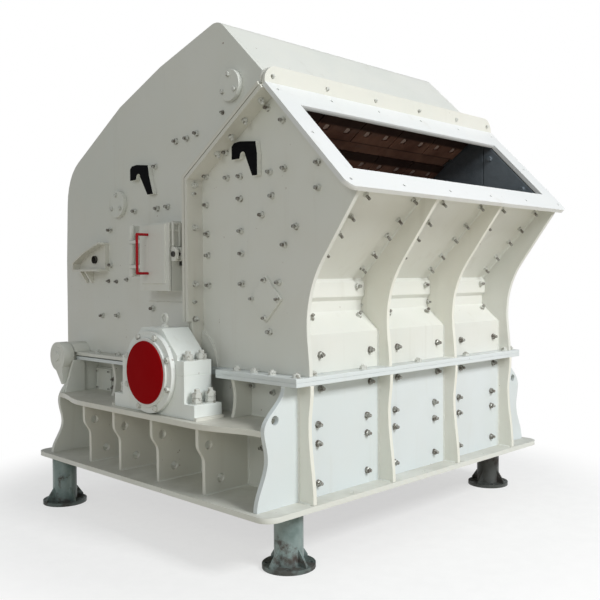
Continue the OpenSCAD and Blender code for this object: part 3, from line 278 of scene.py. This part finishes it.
# the bearings are painted lighter and cooler: a painted highlight of the light falling on them from above
paint(enamel("bearing_lit_enamel", (0.87, 0.9, 0.88), dust=0.1), "bearing_bases", "bearing_caps")
# the ribs of the feed side are painted warmer: painted light bounced up from the yard
paint(enamel("bounce_warmed_enamel", (0.88, 0.87, 0.8), dust=0.3), "front_ribs", "base_front_ribs")


# ---- Legs
# Four pipe legs with round foot flanges, in worn grey-green paint that has
# rusted through at the foot and in patches up the pipe.
def worn_paint():
    coat = Finish("leg_paint")
    height = coat.along("Z")
    tone = coat.mix(coat.between(coat.noise(6.0, 6.0), 0.35, 0.65), (0.15, 0.21, 0.2), (0.29, 0.36, 0.35))
    low = coat.between(height, 0.0, 0.16, 0.12, 0.0)
    rust = coat.between(coat.noise(9.0, 8.0, 0.65) + low, 0.56, 0.72)
    tone = coat.mix(rust, tone, coat.mix(coat.noise(40.0, 5.0), (0.035, 0.03, 0.028), (0.1, 0.075, 0.06)))
    # the two legs away from the closed bearing have darkened
    dark_side = coat.between(coat.along("Y"), 0.4, 0.8)
    tone = coat.mix(dark_side * 0.75, tone, (0.05, 0.035, 0.032))
    grime = coat.between(height, 0.0, 0.07, 0.7, 0.0)
    tone = coat.mix(grime, tone, (0.075, 0.085, 0.08))
    coat.feed(Base_Color=tone, Roughness=rust * 0.35 + 0.35, Metallic=(1.0 - rust) * 0.15)
    coat.bump(coat.noise(60.0, 4.0), strength=0.5, distance=0.001)
    return coat


paint(worn_paint(), "front_legs", "rear_legs")


# ---- Lifting hooks
# Hooks of flame-cut plate, welded on. Their broad faces are matt black,
# while the cream of the housing runs over their edges.
def two_tone(name, ground, colour, mask):
    """An enamel whose masked part has a matt coat of another colour."""
    coat = enamel(name, ground)
    painted = mask(coat)
    coat.feed(Specular_IOR_Level=0.06, Base_Color=coat.mix(painted, coat.tone, colour),
        Coat_Weight=0.2 - painted * 0.2, Roughness=coat.gloss + painted * 0.25)
    return coat


def broad_side(coat):
    sideways = coat.along("Y", coat.node("ShaderNodeTexCoord", {}, out="Normal"))
    return coat.between(sideways.maths("ABSOLUTE"), 0.7, 0.9)


paint(two_tone("hook_black", housing_cream, (0.004, 0.004, 0.005), broad_side), "front_hooks", "rear_hooks")


# ---- Wear parts
# Cast plates and bars inside the housing: brown primer and rust, scraped
# blue-grey where stone has run over the side liners. The shaft is turned.
def cast(name, dark, light, scraped):
    iron = Finish(name, Specular_IOR_Level=0.25)
    iron.tone = iron.mix(iron.between(iron.noise(4.0, 7.0, 0.6), 0.3, 0.7), dark, light)
    wear = iron.between(iron.noise(2.2, 5.0, stretch=(1.2, 1.2, 9.0)), 0.52, 0.72)
    iron.tone = iron.mix(wear * scraped, iron.tone, (0.16, 0.165, 0.17))
    iron.feed(Base_Color=iron.tone, Roughness=0.62 - wear * 0.2, Metallic=wear * scraped * 0.8)
    iron.bump(iron.noise(22.0, 6.0), strength=0.7, distance=0.004)
    return iron


def paint_row_shade(iron, top, tilt, pitch):
    """Painted shade on the upper part of each row of wear plates, and a painted shadow under the lip further
    down.
    """
    tilt = math.radians(tilt)
    down = (top[0] - iron.along("X")) * math.cos(tilt) + (top[1] - iron.along("Z")) * math.sin(tilt)
    on_plate = (down + 40 * pitch).maths("MODULO", pitch)
    lip = iron.between(on_plate, 0.155, 0.166) * iron.between(on_plate, 0.17, 0.182, 1.0, 0.0)
    # the dark colour is painted shade on each row, and a painted shadow under its lip
    row_shade = iron.between(on_plate, 0.05, 0.075, 0.85, 0.0) + lip * 0.7
    iron.feed(Base_Color=iron.mix(row_shade, iron.tone, (0.012, 0.007, 0.006)))


wear_plate = 0.25
upper_curtain_top, upper_curtain_tilt = (0.83, 2.385), 35
paint(cast("curtain_iron", (0.15, 0.062, 0.042), (0.36, 0.18, 0.12), 0.25),
    "lower_curtain", "rotor_discs", "hammers")
apron = cast("apron_iron", (0.17, 0.075, 0.052), (0.38, 0.2, 0.14), 0.2)
# the upper curtain gets painted shade across each row and a painted shadow under each lip
paint_row_shade(apron, upper_curtain_top, upper_curtain_tilt, wear_plate)
paint(apron, "upper_curtain")
liner = cast("liner_steel", (0.13, 0.155, 0.18), (0.19, 0.22, 0.245), 0.08)
paint(liner, "front_liners", "rear_liners")
turned_steel = Finish("turned_steel", Metallic=1.0)
ring_marks = turned_steel.noise(70.0, 3.0)
turned_steel.feed(Base_Color=turned_steel.mix(ring_marks, (0.4, 0.39, 0.37), (0.55, 0.54, 0.53)),
    Roughness=turned_steel.between(ring_marks, 0.2, 0.8, 0.25, 0.45))
paint(turned_steel, "rotor_shaft")


# ---- Red parts
# The closed bearing's end disc and the door handle are sprayed dark red.
# The disc's flange keeps the cream of the bearing.
disc_flange = -1.2855


def outer_disc(coat):
    return coat.between(coat.along("Y"), disc_flange - 0.0007, disc_flange + 0.0007, 1.0, 0.0)


paint(two_tone("bearing_red", (0.88, 0.9, 0.89), (0.33, 0.001, 0.003), outer_disc), "bearing_cover_left")
handle_red = Finish("handle_red", Specular_IOR_Level=0.2)
handle_red.feed(Base_Color=handle_red.mix(handle_red.noise(30.0), (0.42, 0.006, 0.012), (0.34, 0.008, 0.014)),
    Roughness=handle_red.between(handle_red.noise(8.0), 0.3, 0.7, 0.35, 0.5))
paint(handle_red, "door_handle")


# ---- Bolts
# Hexagon heads on washers, with the thread standing out of the nut. Each
# group is one mesh, and each head is turned a little further than the last.
side = -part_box("rear_side_left")[0][1]
sides = (("left", -1), ("right", 1))
bolt_paint = Finish("bolt_paint")
stain = bolt_paint.between(bolt_paint.noise(45.0, 4.0), 0.52, 0.64)
bolt_paint.feed(Base_Color=bolt_paint.mix(stain, (0.66, 0.67, 0.63), (0.3, 0.29, 0.25)),
    Roughness=stain * 0.2 + 0.4)
thread = Finish("bolt_thread")
stain = thread.between(thread.noise(60.0, 4.0), 0.4, 0.6)
thread.feed(Base_Color=thread.mix(stain, (0.42, 0.42, 0.39), (0.15, 0.13, 0.11)),
    Roughness=stain * 0.2 + 0.35, Metallic=0.6 - stain * 0.5)


def finished(name, mesh, finishes, body):
    """Makes the mesh a piece with these finishes, on this body."""
    data = bpy.data.meshes.new(name)
    mesh.to_mesh(data)
    mesh.free()
    for finish in finishes:
        data.materials.append(finish.material)
    piece = bpy.data.objects.new(name, data)
    scene.collection.objects.link(piece)
    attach(piece, body)
    return piece


def circle(radius, count, k):
    return radius * math.cos(math.tau * k / count), radius * math.sin(math.tau * k / count)


def drum(mesh, at, rings, count, coat=0, hollow=False):
    """Adds a turned or sided body from (height, radius) rings, closed at both ends or into a tube."""
    rows = [[mesh.verts.new(at @ Vector((*circle(radius, count, k), height))) for k in range(count)]
        for height, radius in rings]
    faces = [(low[k], low[(k + 1) % count], high[(k + 1) % count], high[k])
        for low, high in zip(rows, rows[1:] + rows[:1] * hollow) for k in range(count)]
    for face in faces + ([] if hollow else [rows[-1], rows[0][::-1]]):
        mesh.faces.new(face).material_index = coat


def bolts(name, places, facing, body, slot="cream_paint", size=0.0205, finish=None, stub=1.6):
    """One bolt at each place. The size is its thread's, and the stub is how many sizes it stands out."""
    washer, flats, shank = 0.92 * size, 0.84 * size, 0.46 * size
    mesh = bmesh.new()
    axis = Vector(facing).to_track_quat("Z", "Y").to_matrix().to_4x4()
    for i, place in enumerate(places):
        at = Matrix.Translation(Vector(place)) @ axis @ Matrix.Rotation(0.7 * i + 0.2, 4, "Z")
        drum(mesh, at, [(-0.001, washer), (0.16 * size, washer)], 20)
        drum(mesh, at, [(0.1 * size, flats), (0.72 * size, flats), (0.8 * size, 0.72 * size)], 6)
        if stub:
            end = [((stub - 0.08) * size, shank), (stub * size, 0.38 * size)]
            drum(mesh, at, [(0.7 * size, shank), *end], 12, coat=1)
    finished(name, mesh, [finish or bolt_paint, finish or thread], body)


def side_bolts(stem, points, body, out=0.0, **kind):
    """Bolts at the same (x, z) points on both side plates, or this far out from them."""
    for name, sign in sides:
        places = [(x, sign * (side + out), z) for x, z in points]
        bolts(f"{stem}_{name}", places, (0, sign, 0), body, **kind)


side_bolts("front_liner_bolts", [
    (0.304, 2.05), (0.491, 2.025), (0.6, 2.024), (0.839, 2.026), (0.95, 2.035), (1.189, 2.041),
    (1.189, 1.917), (0.599, 1.903), (0.855, 1.9), (0.304, 1.888), (0.774, 1.806), (0.312, 1.723),
    (0.604, 1.728), (1.032, 1.733), (0.317, 1.601), (0.609, 1.605), (0.946, 1.643), (0.32, 1.432),
    (0.611, 1.441), (0.901, 1.45), (0.828, 1.189), (0.825, 2.361), (0.939, 2.281), (0.582, 2.261),
    (0.48, 2.166)], "base")
side_bolts("rear_liner_bolts", [
    (0.018, 2.283), (0.126, 2.287), (0.218, 2.305), (-0.193, 2.155), (-0.425, 1.897), (-0.179, 1.899),
    (-0.072, 1.904), (-0.718, 1.79), (-0.712, 1.562), (-0.823, 1.227), (-0.633, 1.234), (-0.237, 1.288)],
    "rear_housing")
side_bolts("small_rear_bolts", [(-0.746, 1.456), (-0.651, 1.453), (-0.529, 1.466), (0.451, 2.391)],
    "rear_housing", size=0.014, finish=thread)


# ---- Bay bolts
# Three bays between the ribs of the feed side. Two columns of bolts in each
# hold the liners of the chute, of its waist and belly, and of the base wall.
chute_foot = (0.91, 1.4644)
base_wall = 1.036
bay_columns = (-0.775, -0.39, -0.125, 0.25, 0.49, 0.875)
bolts("chute_bolts", [(chute_foot[0] + z - chute_foot[1], y, z)
    for y in bay_columns for z in (1.887, 1.785, 1.704, 1.607, 1.526)],
    (0.707, 0, -0.707), "base", size=0.017, stub=2.4)
bolts("waist_bolts", [(0.932, y, 1.423) for y in bay_columns]
    + [(chute_foot[0], y, 1.315) for y in (-0.314, 0.31)], (1, 0, 0), "base")
bolts("belly_bolts", [(0.9447, y, 1.255) for y in bay_columns], (0.654, 0, 0.756), "base")
wall_columns = (-0.82, -0.43, -0.185, 0.2, 0.46, 0.84)
row_columns = (-0.8, -0.4, -0.16, 0.23, 0.485, 0.867)
bolts("base_wall_bolts", [(base_wall, y, z) for y in wall_columns for z in (0.707, 0.608, 0.4)]
    + [(base_wall, y, z) for y in row_columns for z in (0.893, 1.07)], (1, 0, 0), "base", finish=thread)


# ---- Flange bolts
# The joint flange, the split flange and the standing flange over the feed
# opening are drawn together by bolts and nuts, sprayed with the flanges.
joint_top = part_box("front_joint_flange")[1][2]
rear_joint_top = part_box("rear_joint_flange")[1][2]
bolt_line = 1.015
bolts("front_joint_bolts", [(1.085, y, joint_top) for y in (-0.9, -0.514, -0.022, 0.471, 0.93)]
    + [(x, sign * bolt_line, joint_top) for _, sign in sides for x in (0.62, 0.76, 0.9, 1.08)],
    (0, 0, 1), "base", size=0.024, finish=bolt_paint, stub=1.1)
bolts("rear_joint_bolts",
    [(x, sign * bolt_line, rear_joint_top) for _, sign in sides for x in (-0.8, -0.56, -0.32)],
    (0, 0, 1), "rear_housing", size=0.022, finish=bolt_paint, stub=1.1)
split_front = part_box("front_split_flange")[0][0] + 0.022
split_back = 0.21
split_heights = (2.0, 1.76, 1.44, 1.24)
slope_foot = Vector((0.235, 0, 2.04))
up_slope, off_slope = Vector((0.8376, 0, 0.5463)), Vector((0.5463, 0, -0.8376))
for name, sign in sides:
    bolts("split_bolts_" + name, [(split_front, sign * 1.018, z) for z in split_heights],
        (1, 0, 0), "base", finish=bolt_paint)
    bolts("small_split_bolts_" + name, [(split_front, sign * 1.025, z) for z in (1.95, 1.339)],
        (1, 0, 0), "base", size=0.014)
    foot = slope_foot + Vector((0, sign * bolt_line, 0))
    bolts("sloped_split_bolts_" + name,
        [foot + up_slope * reach + off_slope * 0.025 for reach in (0.258, 0.4, 0.533, 0.689)],
        off_slope, "base", finish=bolt_paint)
    bolts("split_nuts_" + name, [(split_back, sign * 1.018, z) for z in split_heights],
        (-1, 0, 0), "rear_housing", finish=bolt_paint)
bolts("standing_bolts", [(0.904, y, 2.505) for y in (-1.0, -0.596, -0.186, 0.23, 0.633, 1.0)],
    (1, 0, 0), "base", size=0.013, stub=1.3, finish=bolt_paint)


# ---- Cover bolts
# The pivot covers carry three bolts each, the square and the base covers
# four, and the bearings' end covers eight. The base's side walls carry liner
# bolts, and studs beside their covers.
shaft_x, shaft_z = 0.15, 0.951


def ring_of(x, z, radius, angles):
    """(x, z) points round a centre, at these angles in degrees."""
    return [(x + radius * math.cos(math.radians(a)), z + radius * math.sin(math.radians(a))) for a in angles]


thirds, quarters, eighths = (90, 210, 330), (0, 90, 180, 270), [22.5 + 45 * k for k in range(8)]
pivots = ring_of(0.536, 2.524, 0.058, thirds) + ring_of(-0.603, 1.952, 0.058, thirds)
side_bolts("square_cover_bolts", ring_of(0.804, 1.362, 0.1, quarters), "base", out=0.016, size=0.016)
side_bolts("pivot_cover_bolts", pivots, "rear_housing", out=0.03, size=0.016, stub=0)
side_bolts("base_cover_bolts", [(-0.95, 0.845), (-0.81, 0.848), (-0.95, 0.735), (-0.81, 0.733)],
    "base", out=-0.03, size=0.009)
side_bolts("base_cover_studs", [(-0.765, 0.8), (-0.765, 0.745), (-0.86, 0.69), (-0.79, 0.685)],
    "base", out=-0.043, size=0.018, finish=thread)
side_bolts("base_side_bolts",
    [(0.626, 0.882), (0.793, 0.861), (0.7, 0.55), (0.45, 0.576), (0.4, 0.42), (-0.1, 0.42)],
    "base", out=-0.055, size=0.018)
side_bolts("bearing_cover_bolts", ring_of(shaft_x, shaft_z, 0.21, eighths),
    "base", out=0.31, size=0.02, stub=0)


# ---- Bearing studs
# Studs clamp each foot of the cap with one nut and of the base with two. An
# eye bolt on top lifts the cap.
stud, washer_top, nut_step = 0.034, 0.005, 0.029
cap_top = 1.197
eye_radius, eye_height, wire = 0.026, 0.05, 0.008
for name, sign in sides:
    studs = bmesh.new()
    for spread, foot_top, nut_count in ((0.27, 1.028, 1), (0.347, 0.8, 2)):
        for k, x in enumerate((shaft_x - spread, shaft_x + spread)):
            for y in (sign * (side + 0.14), sign * (side + 0.23)):
                # no two nuts have stopped at the same turn
                at = Matrix.Translation((x, y, foot_top)) @ Matrix.Rotation(0.4 + k + 9 * y, 4, "Z")
                drum(studs, at, [(-0.001, 0.95 * stud), (washer_top, 0.95 * stud)], 20)
                for n in range(nut_count):
                    nut = washer_top + n * nut_step
                    drum(studs, at, [(nut, 0.74 * stud), (nut + 0.002, 0.82 * stud),
                        (nut + 0.026, 0.82 * stud), (nut + 0.028, 0.74 * stud)], 6)
                end = washer_top + nut_count * nut_step
                drum(studs, at, [(end - 0.005, 0.46 * stud), (end + 0.016, 0.46 * stud),
                    (end + 0.019, 0.38 * stud)], 14)
    finished("bearing_studs_" + name, studs, [bolt_paint], "base")
    eye_bolt = bmesh.new()
    at = Matrix.Translation((shaft_x, sign * (side + 0.19), cap_top))
    drum(eye_bolt, at, [(-0.001, 0.024), (0.01, 0.024), (0.014, 0.016), (0.02, 0.014)], 16)
    section = [circle(wire, 10, j) for j in range(10)]
    rows = []
    for k in range(24):
        turn = math.tau * k / 24
        rows.append([eye_bolt.verts.new(at @ Vector(((eye_radius + out) * math.cos(turn), wide,
            eye_height + (eye_radius + out) * math.sin(turn)))) for out, wide in section])
    for row, following in zip(rows, rows[1:] + rows[:1]):
        for j in range(10):
            eye_bolt.faces.new((row[j], following[j], following[(j + 1) % 10], row[(j + 1) % 10]))
    finished("eye_bolt_" + name, eye_bolt, [cream], "base")


# ---- Curtain bolts
# A square pocket in every wear plate holds the head of its bolt, coloured
# pale: a painted highlight of the light falling into the pocket. The side
# liners' bolts show inside the housing too.
# the heads' pale colour is a painted highlight
pocket_highlight = Finish("pocket_highlight_heads", Roughness=0.5)
pocket_highlight.feed(Base_Color=pocket_highlight.mix(pocket_highlight.noise(50.0), (0.85, 0.66, 0.6), (0.5, 0.37, 0.32)))
liner_face, curtain_gap, plates_across = 0.915, 0.02, 10
pocket_down, pocket_deep = 0.09, 0.028


def curtain_bolts(name, top, tilt, rows):
    tilt = math.radians(tilt)
    down, out = Vector((-math.cos(tilt), 0, -math.sin(tilt))), Vector((math.sin(tilt), 0, -math.cos(tilt)))
    plate_width = 2 * (liner_face - curtain_gap) / plates_across
    first = plate_width / 2 - (liner_face - curtain_gap)
    spots = []
    for row in range(rows):
        for column in range(plates_across):
            start = Vector((top[0], first + column * plate_width, top[1]))
            spots.append(start + down * (row * wear_plate + pocket_down) - out * pocket_deep)
    bolts(name, spots, out, "rear_housing", slot="curtain_iron", finish=pocket_highlight, size=0.027, stub=0)


curtain_bolts("upper_curtain_bolts", upper_curtain_top, upper_curtain_tilt, 5)
curtain_bolts("lower_curtain_bolts", (-0.4, 1.6), 74, 2)
inner_spots = ((0.985, 2.267), (1.231, 2.044), (1.189, 1.917), (1.032, 1.733), (0.839, 2.026), (0.6, 2.024))
for name, sign in sides[::-1]:
    bolts("inner_liner_bolts_" + name, [(x, sign * liner_face, z) for x, z in inner_spots],
        (0, -sign, 0), "base", slot="liner_steel", finish=liner, stub=0)


# ---- Shaft seal
# The rear half of the seal's ring is bolted to the hinged side plates, and
# a rubber strip fills the gap between the two housings.
def plate(name, outline, through, finish, body, slot, edge=0.002):
    """A plate with this outline in space, and its thickness as a vector."""
    mesh = bmesh.new()
    near = [mesh.verts.new(point) for point in outline]
    far = [mesh.verts.new(Vector(point) + Vector(through)) for point in outline]
    mesh.faces.new(near)
    mesh.faces.new(far[::-1])
    for k in range(len(outline)):
        j = (k + 1) % len(outline)
        mesh.faces.new((near[k], far[k], far[j], near[j]))
    bmesh.ops.recalc_face_normals(mesh, faces=mesh.faces)
    piece = finished(name, mesh, [finish], body)
    if edge:
        grind(piece, edge)


def prism(name, outline, y, thickness, *rest, **more):
    """A plate drawn in XZ, with its thickness along the shaft."""
    plate(name, [(x, y, z) for x, z in outline], (0, thickness, 0), *rest, **more)


def arc(radius, start, end, count=16):
    return ring_of(shaft_x, shaft_z, radius, [start + (end - start) * k / count for k in range(count + 1)])


rubber = Finish("seal_rubber", Roughness=0.8)
rubber.feed(Base_Color=rubber.mix(rubber.noise(20.0), (0.012, 0.012, 0.012), (0.03, 0.028, 0.026)))
split_line = [(0.235, 1.26), (0.235, 2.04), (0.86, 2.447)]
strip = [(x - 0.002, z) for x, z in split_line] + [(x + 0.002, z - 0.003) for x, z in split_line[::-1]]
for name, sign in sides:
    prism("rear_seal_ring_" + name, arc(0.25, 76.5, 173.2) + arc(0.1, 163.0, 53.5),
        sign * side, sign * 0.014, cream, "rear_housing", "cream_paint")
    prism("seal_strip_" + name, strip, sign * (side - 0.02), sign * 0.11,
        rubber, "base", "black_paint", edge=0)


# ---- Weld beads
# Fillet welds run along the feet of the ribs, the door box and the brackets.
# Each is a small three-sided bead with the ripple of its passes.
weld_leg, ripple = 0.007, 0.014


def beads(name, runs, body):
    """Each run is (start, end, two directions along the plates it joins)."""
    mesh = bmesh.new()
    for run in runs:
        start, end, u, w = (Vector(v) for v in run)
        steps = max(2, int((end - start).length / ripple))
        rows = []
        for k in range(steps + 1):
            leg = weld_leg * (1 + 0.16 * math.sin(2.4 * k) + 0.08 * math.sin(5.3 * k + 1))
            p = start.lerp(end, k / steps)
            section = (-0.0005 * (u + w), u * leg, (u + w) * leg * 0.6, w * leg)
            rows.append([mesh.verts.new(p + offset) for offset in section])
        for low, high in zip(rows, rows[1:]):
            for j in range(4):
                mesh.faces.new((low[j], low[(j + 1) % 4], high[(j + 1) % 4], high[j]))
        mesh.faces.new(rows[0][::-1])
        mesh.faces.new(rows[-1])
    bmesh.ops.recalc_face_normals(mesh, faces=mesh.faces)
    finished(name, mesh, [cream], body)


half_rib = 0.0125
bay = 2 * (side - half_rib) / 3
base_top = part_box("base_flange")[1][2]


def climb(x, y, foot, top, *directions):
    """A run that goes straight up from foot to top."""
    return (x, y, foot), (x, y, top), *directions


# both sides of the four ribs on the base's front wall: up the wall, and out along the flange
runs = []
for k in (-1.5, -0.5, 0.5, 1.5):
    for s in (-1, 1):
        y = k * bay + s * half_rib
        runs.append(climb(base_wall, y, base_top, 0.929, (1, 0, 0), (0, s, 0)))
        runs.append(((base_wall, y, base_top), (1.12, y, base_top), (0, s, 0), (0, 0, 1)))
beads("front_rib_welds", runs, "base")

# round the four swept ribs under each bearing shelf, and along the side walls
shelf_under = 0.69
wall_rear, wall_front = -0.985, 1.008
runs = []
for _, s in sides:
    wall, shelf_edge, foot_edge = s * (side - 0.055), s * (side + 0.285), s * (side + 0.24)
    for x in (-0.58, -0.24, 0.15, 0.57):
        for d in (-1, 1):
            at = x + d * half_rib
            runs.append(((at, wall, base_top), (at, foot_edge, base_top), (d, 0, 0), (0, 0, 1)))
            runs.append(climb(at, wall, base_top, shelf_under, (d, 0, 0), (0, s, 0)))
            runs.append(((at, wall, shelf_under), (at, shelf_edge, shelf_under), (d, 0, 0), (0, 0, -1)))
    for z in (0.72, base_top):
        runs.append(((wall_rear, wall, z), (wall_front, wall, z), (0, s, 0), (0, 0, 1)))
beads("side_rib_welds", runs, "base")

# up the chute and the base's wall, beside the middle ribs and in the corners of the side plates
chute_top = (1.385, 1.9394)


def panel_runs(y, s):
    chute = (chute_foot[0], y, chute_foot[1]), (chute_top[0], y, chute_top[1]), (0.707, 0, -0.707), (0, s, 0)
    return [chute, climb(base_wall, y, joint_top, 1.176, (1, 0, 0), (0, s, 0))]


runs = []
for k in (-0.5, 0.5):
    for s in (-1, 1):
        y = k * bay + s * half_rib
        runs += panel_runs(y, s)
        runs.append(((base_wall, y, joint_top), (1.11, y, joint_top), (0, s, 0), (0, 0, 1)))
for _, s in sides:
    runs += panel_runs(s * (side - 2 * half_rib), -s)
beads("panel_welds", runs, "base")

# beside and below the door's box and its sill, and under the shelves of the cylinder brackets
door_foot, door_rear, door_front = 1.4, -0.185, 0.11
door_wall = -side - 0.01
runs = [climb(x, door_wall, door_foot, 1.795, (d, 0, 0), (0, -1, 0))
    for x, d in ((door_rear, -1), (door_front, 1))]
runs.append(((door_rear, door_wall, door_foot), (door_front, door_wall, door_foot), (0, 0, -1), (0, -1, 0)))
for _, s in sides:
    runs.append(((-1.07, s * side, 1.521), (-0.744, s * side, 1.521), (0, 0, -1), (0, s, 0)))
runs.append(((-0.282, -side, 1.337), (door_front, -side, 1.337), (0, 0, -1), (0, -1, 0)))
beads("rear_housing_welds", runs, "rear_housing")


# ---- Latch
# Beside the door its box carries a keeper and a clevis of three lugs with a
# dark pin through them, which takes the wedge. Made of flame-cut plate.
# the same dark steel also lines the brackets' eyes, as painted shade in the bores
latch = Finish("latch_steel_and_bore_shade")
dark = latch.between(latch.noise(40.0, 4.0), 0.35, 0.6)
latch.feed(Base_Color=latch.mix(dark, (0.1, 0.095, 0.085), (0.02, 0.018, 0.016)),
    Roughness=dark * 0.2 + 0.4, Metallic=0.5 - dark * 0.3)
box_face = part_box("door_frame")[1][0]
root = box_face - 0.002
keeper_parts = ((-1.082, 1.66, 0.012, 0.135), (-1.036, 1.66, 0.012, 0.135), (-1.07, 1.783, 0.034, 0.012))
for k, (y, z, width, height) in enumerate(keeper_parts):
    outline = [(root, z), (box_face + 0.007, z), (box_face + 0.007, z + height), (root, z + height)]
    prism(f"latch_keeper_{k + 1}", outline, y, width, cream, "rear_housing", "cream_paint")
lug = [(root, 1.572), (box_face + 0.03, 1.572), (box_face + 0.042, 1.59), (box_face + 0.042, 1.635),
    (box_face + 0.03, 1.652), (root, 1.652)]
for k, (y, width) in enumerate(((-1.086, 0.022), (-1.046, 0.018), (-1.004, 0.022))):
    prism(f"latch_lug_{k + 1}", lug, y, width, cream, "rear_housing", "cream_paint")
pin = bmesh.new()
head, shank = 0.016, 0.011
drum(pin, Matrix.Translation((box_face + 0.022, -0.972, 1.612)) @ Matrix.Rotation(math.radians(90), 4, "X"),
    [(0, head), (0.01, head), (0.01, shank), (0.116, shank), (0.116, head), (0.124, head)], 12)
finished("latch_pin", pin, [latch], "rear_housing")


# ---- Small plates
# A cover plate on each side wall of the base, a corner plate that stiffens
# each hinge lug, and a thin dark tube in the eye of each bracket: painted
# shade in the bore.
cover_outline = [(-0.97, 0.715), (-0.79, 0.715), (-0.79, 0.865), (-0.97, 0.865)]
corner_outline = ((1.02, 0.929), (1.1, 0.929), (1.13, 0.84), (1.165, 0.72), (1.165, 0.69), (1.02, 0.69))
bore, bore_shade_radius, eye_width = 0.0236, 0.0254, 0.029
for name, sign in sides:
    prism("base_cover_plate_" + name, cover_outline, sign * (side - 0.0435), sign * 0.0135,
        cream, "base", "cream_paint")
    plate("hinge_corner_plate_" + name, [(-0.985, sign * y, z) for y, z in corner_outline],
        (0.02, 0, 0), cream, "base", "cream_paint")
    # a thin dark tube lining the bracket's eye: painted shade in the bore
    mesh = bmesh.new()
    at = Matrix.Translation((-0.864, sign * 0.976, 1.599)) @ Matrix.Rotation(math.radians(sign * -90), 4, "X")
    drum(mesh, at, [(0, bore), (0, bore_shade_radius), (eye_width, bore_shade_radius), (eye_width, bore)], 40, hollow=True)
    finished("eye_bush_" + name, mesh, [latch], "rear_housing")
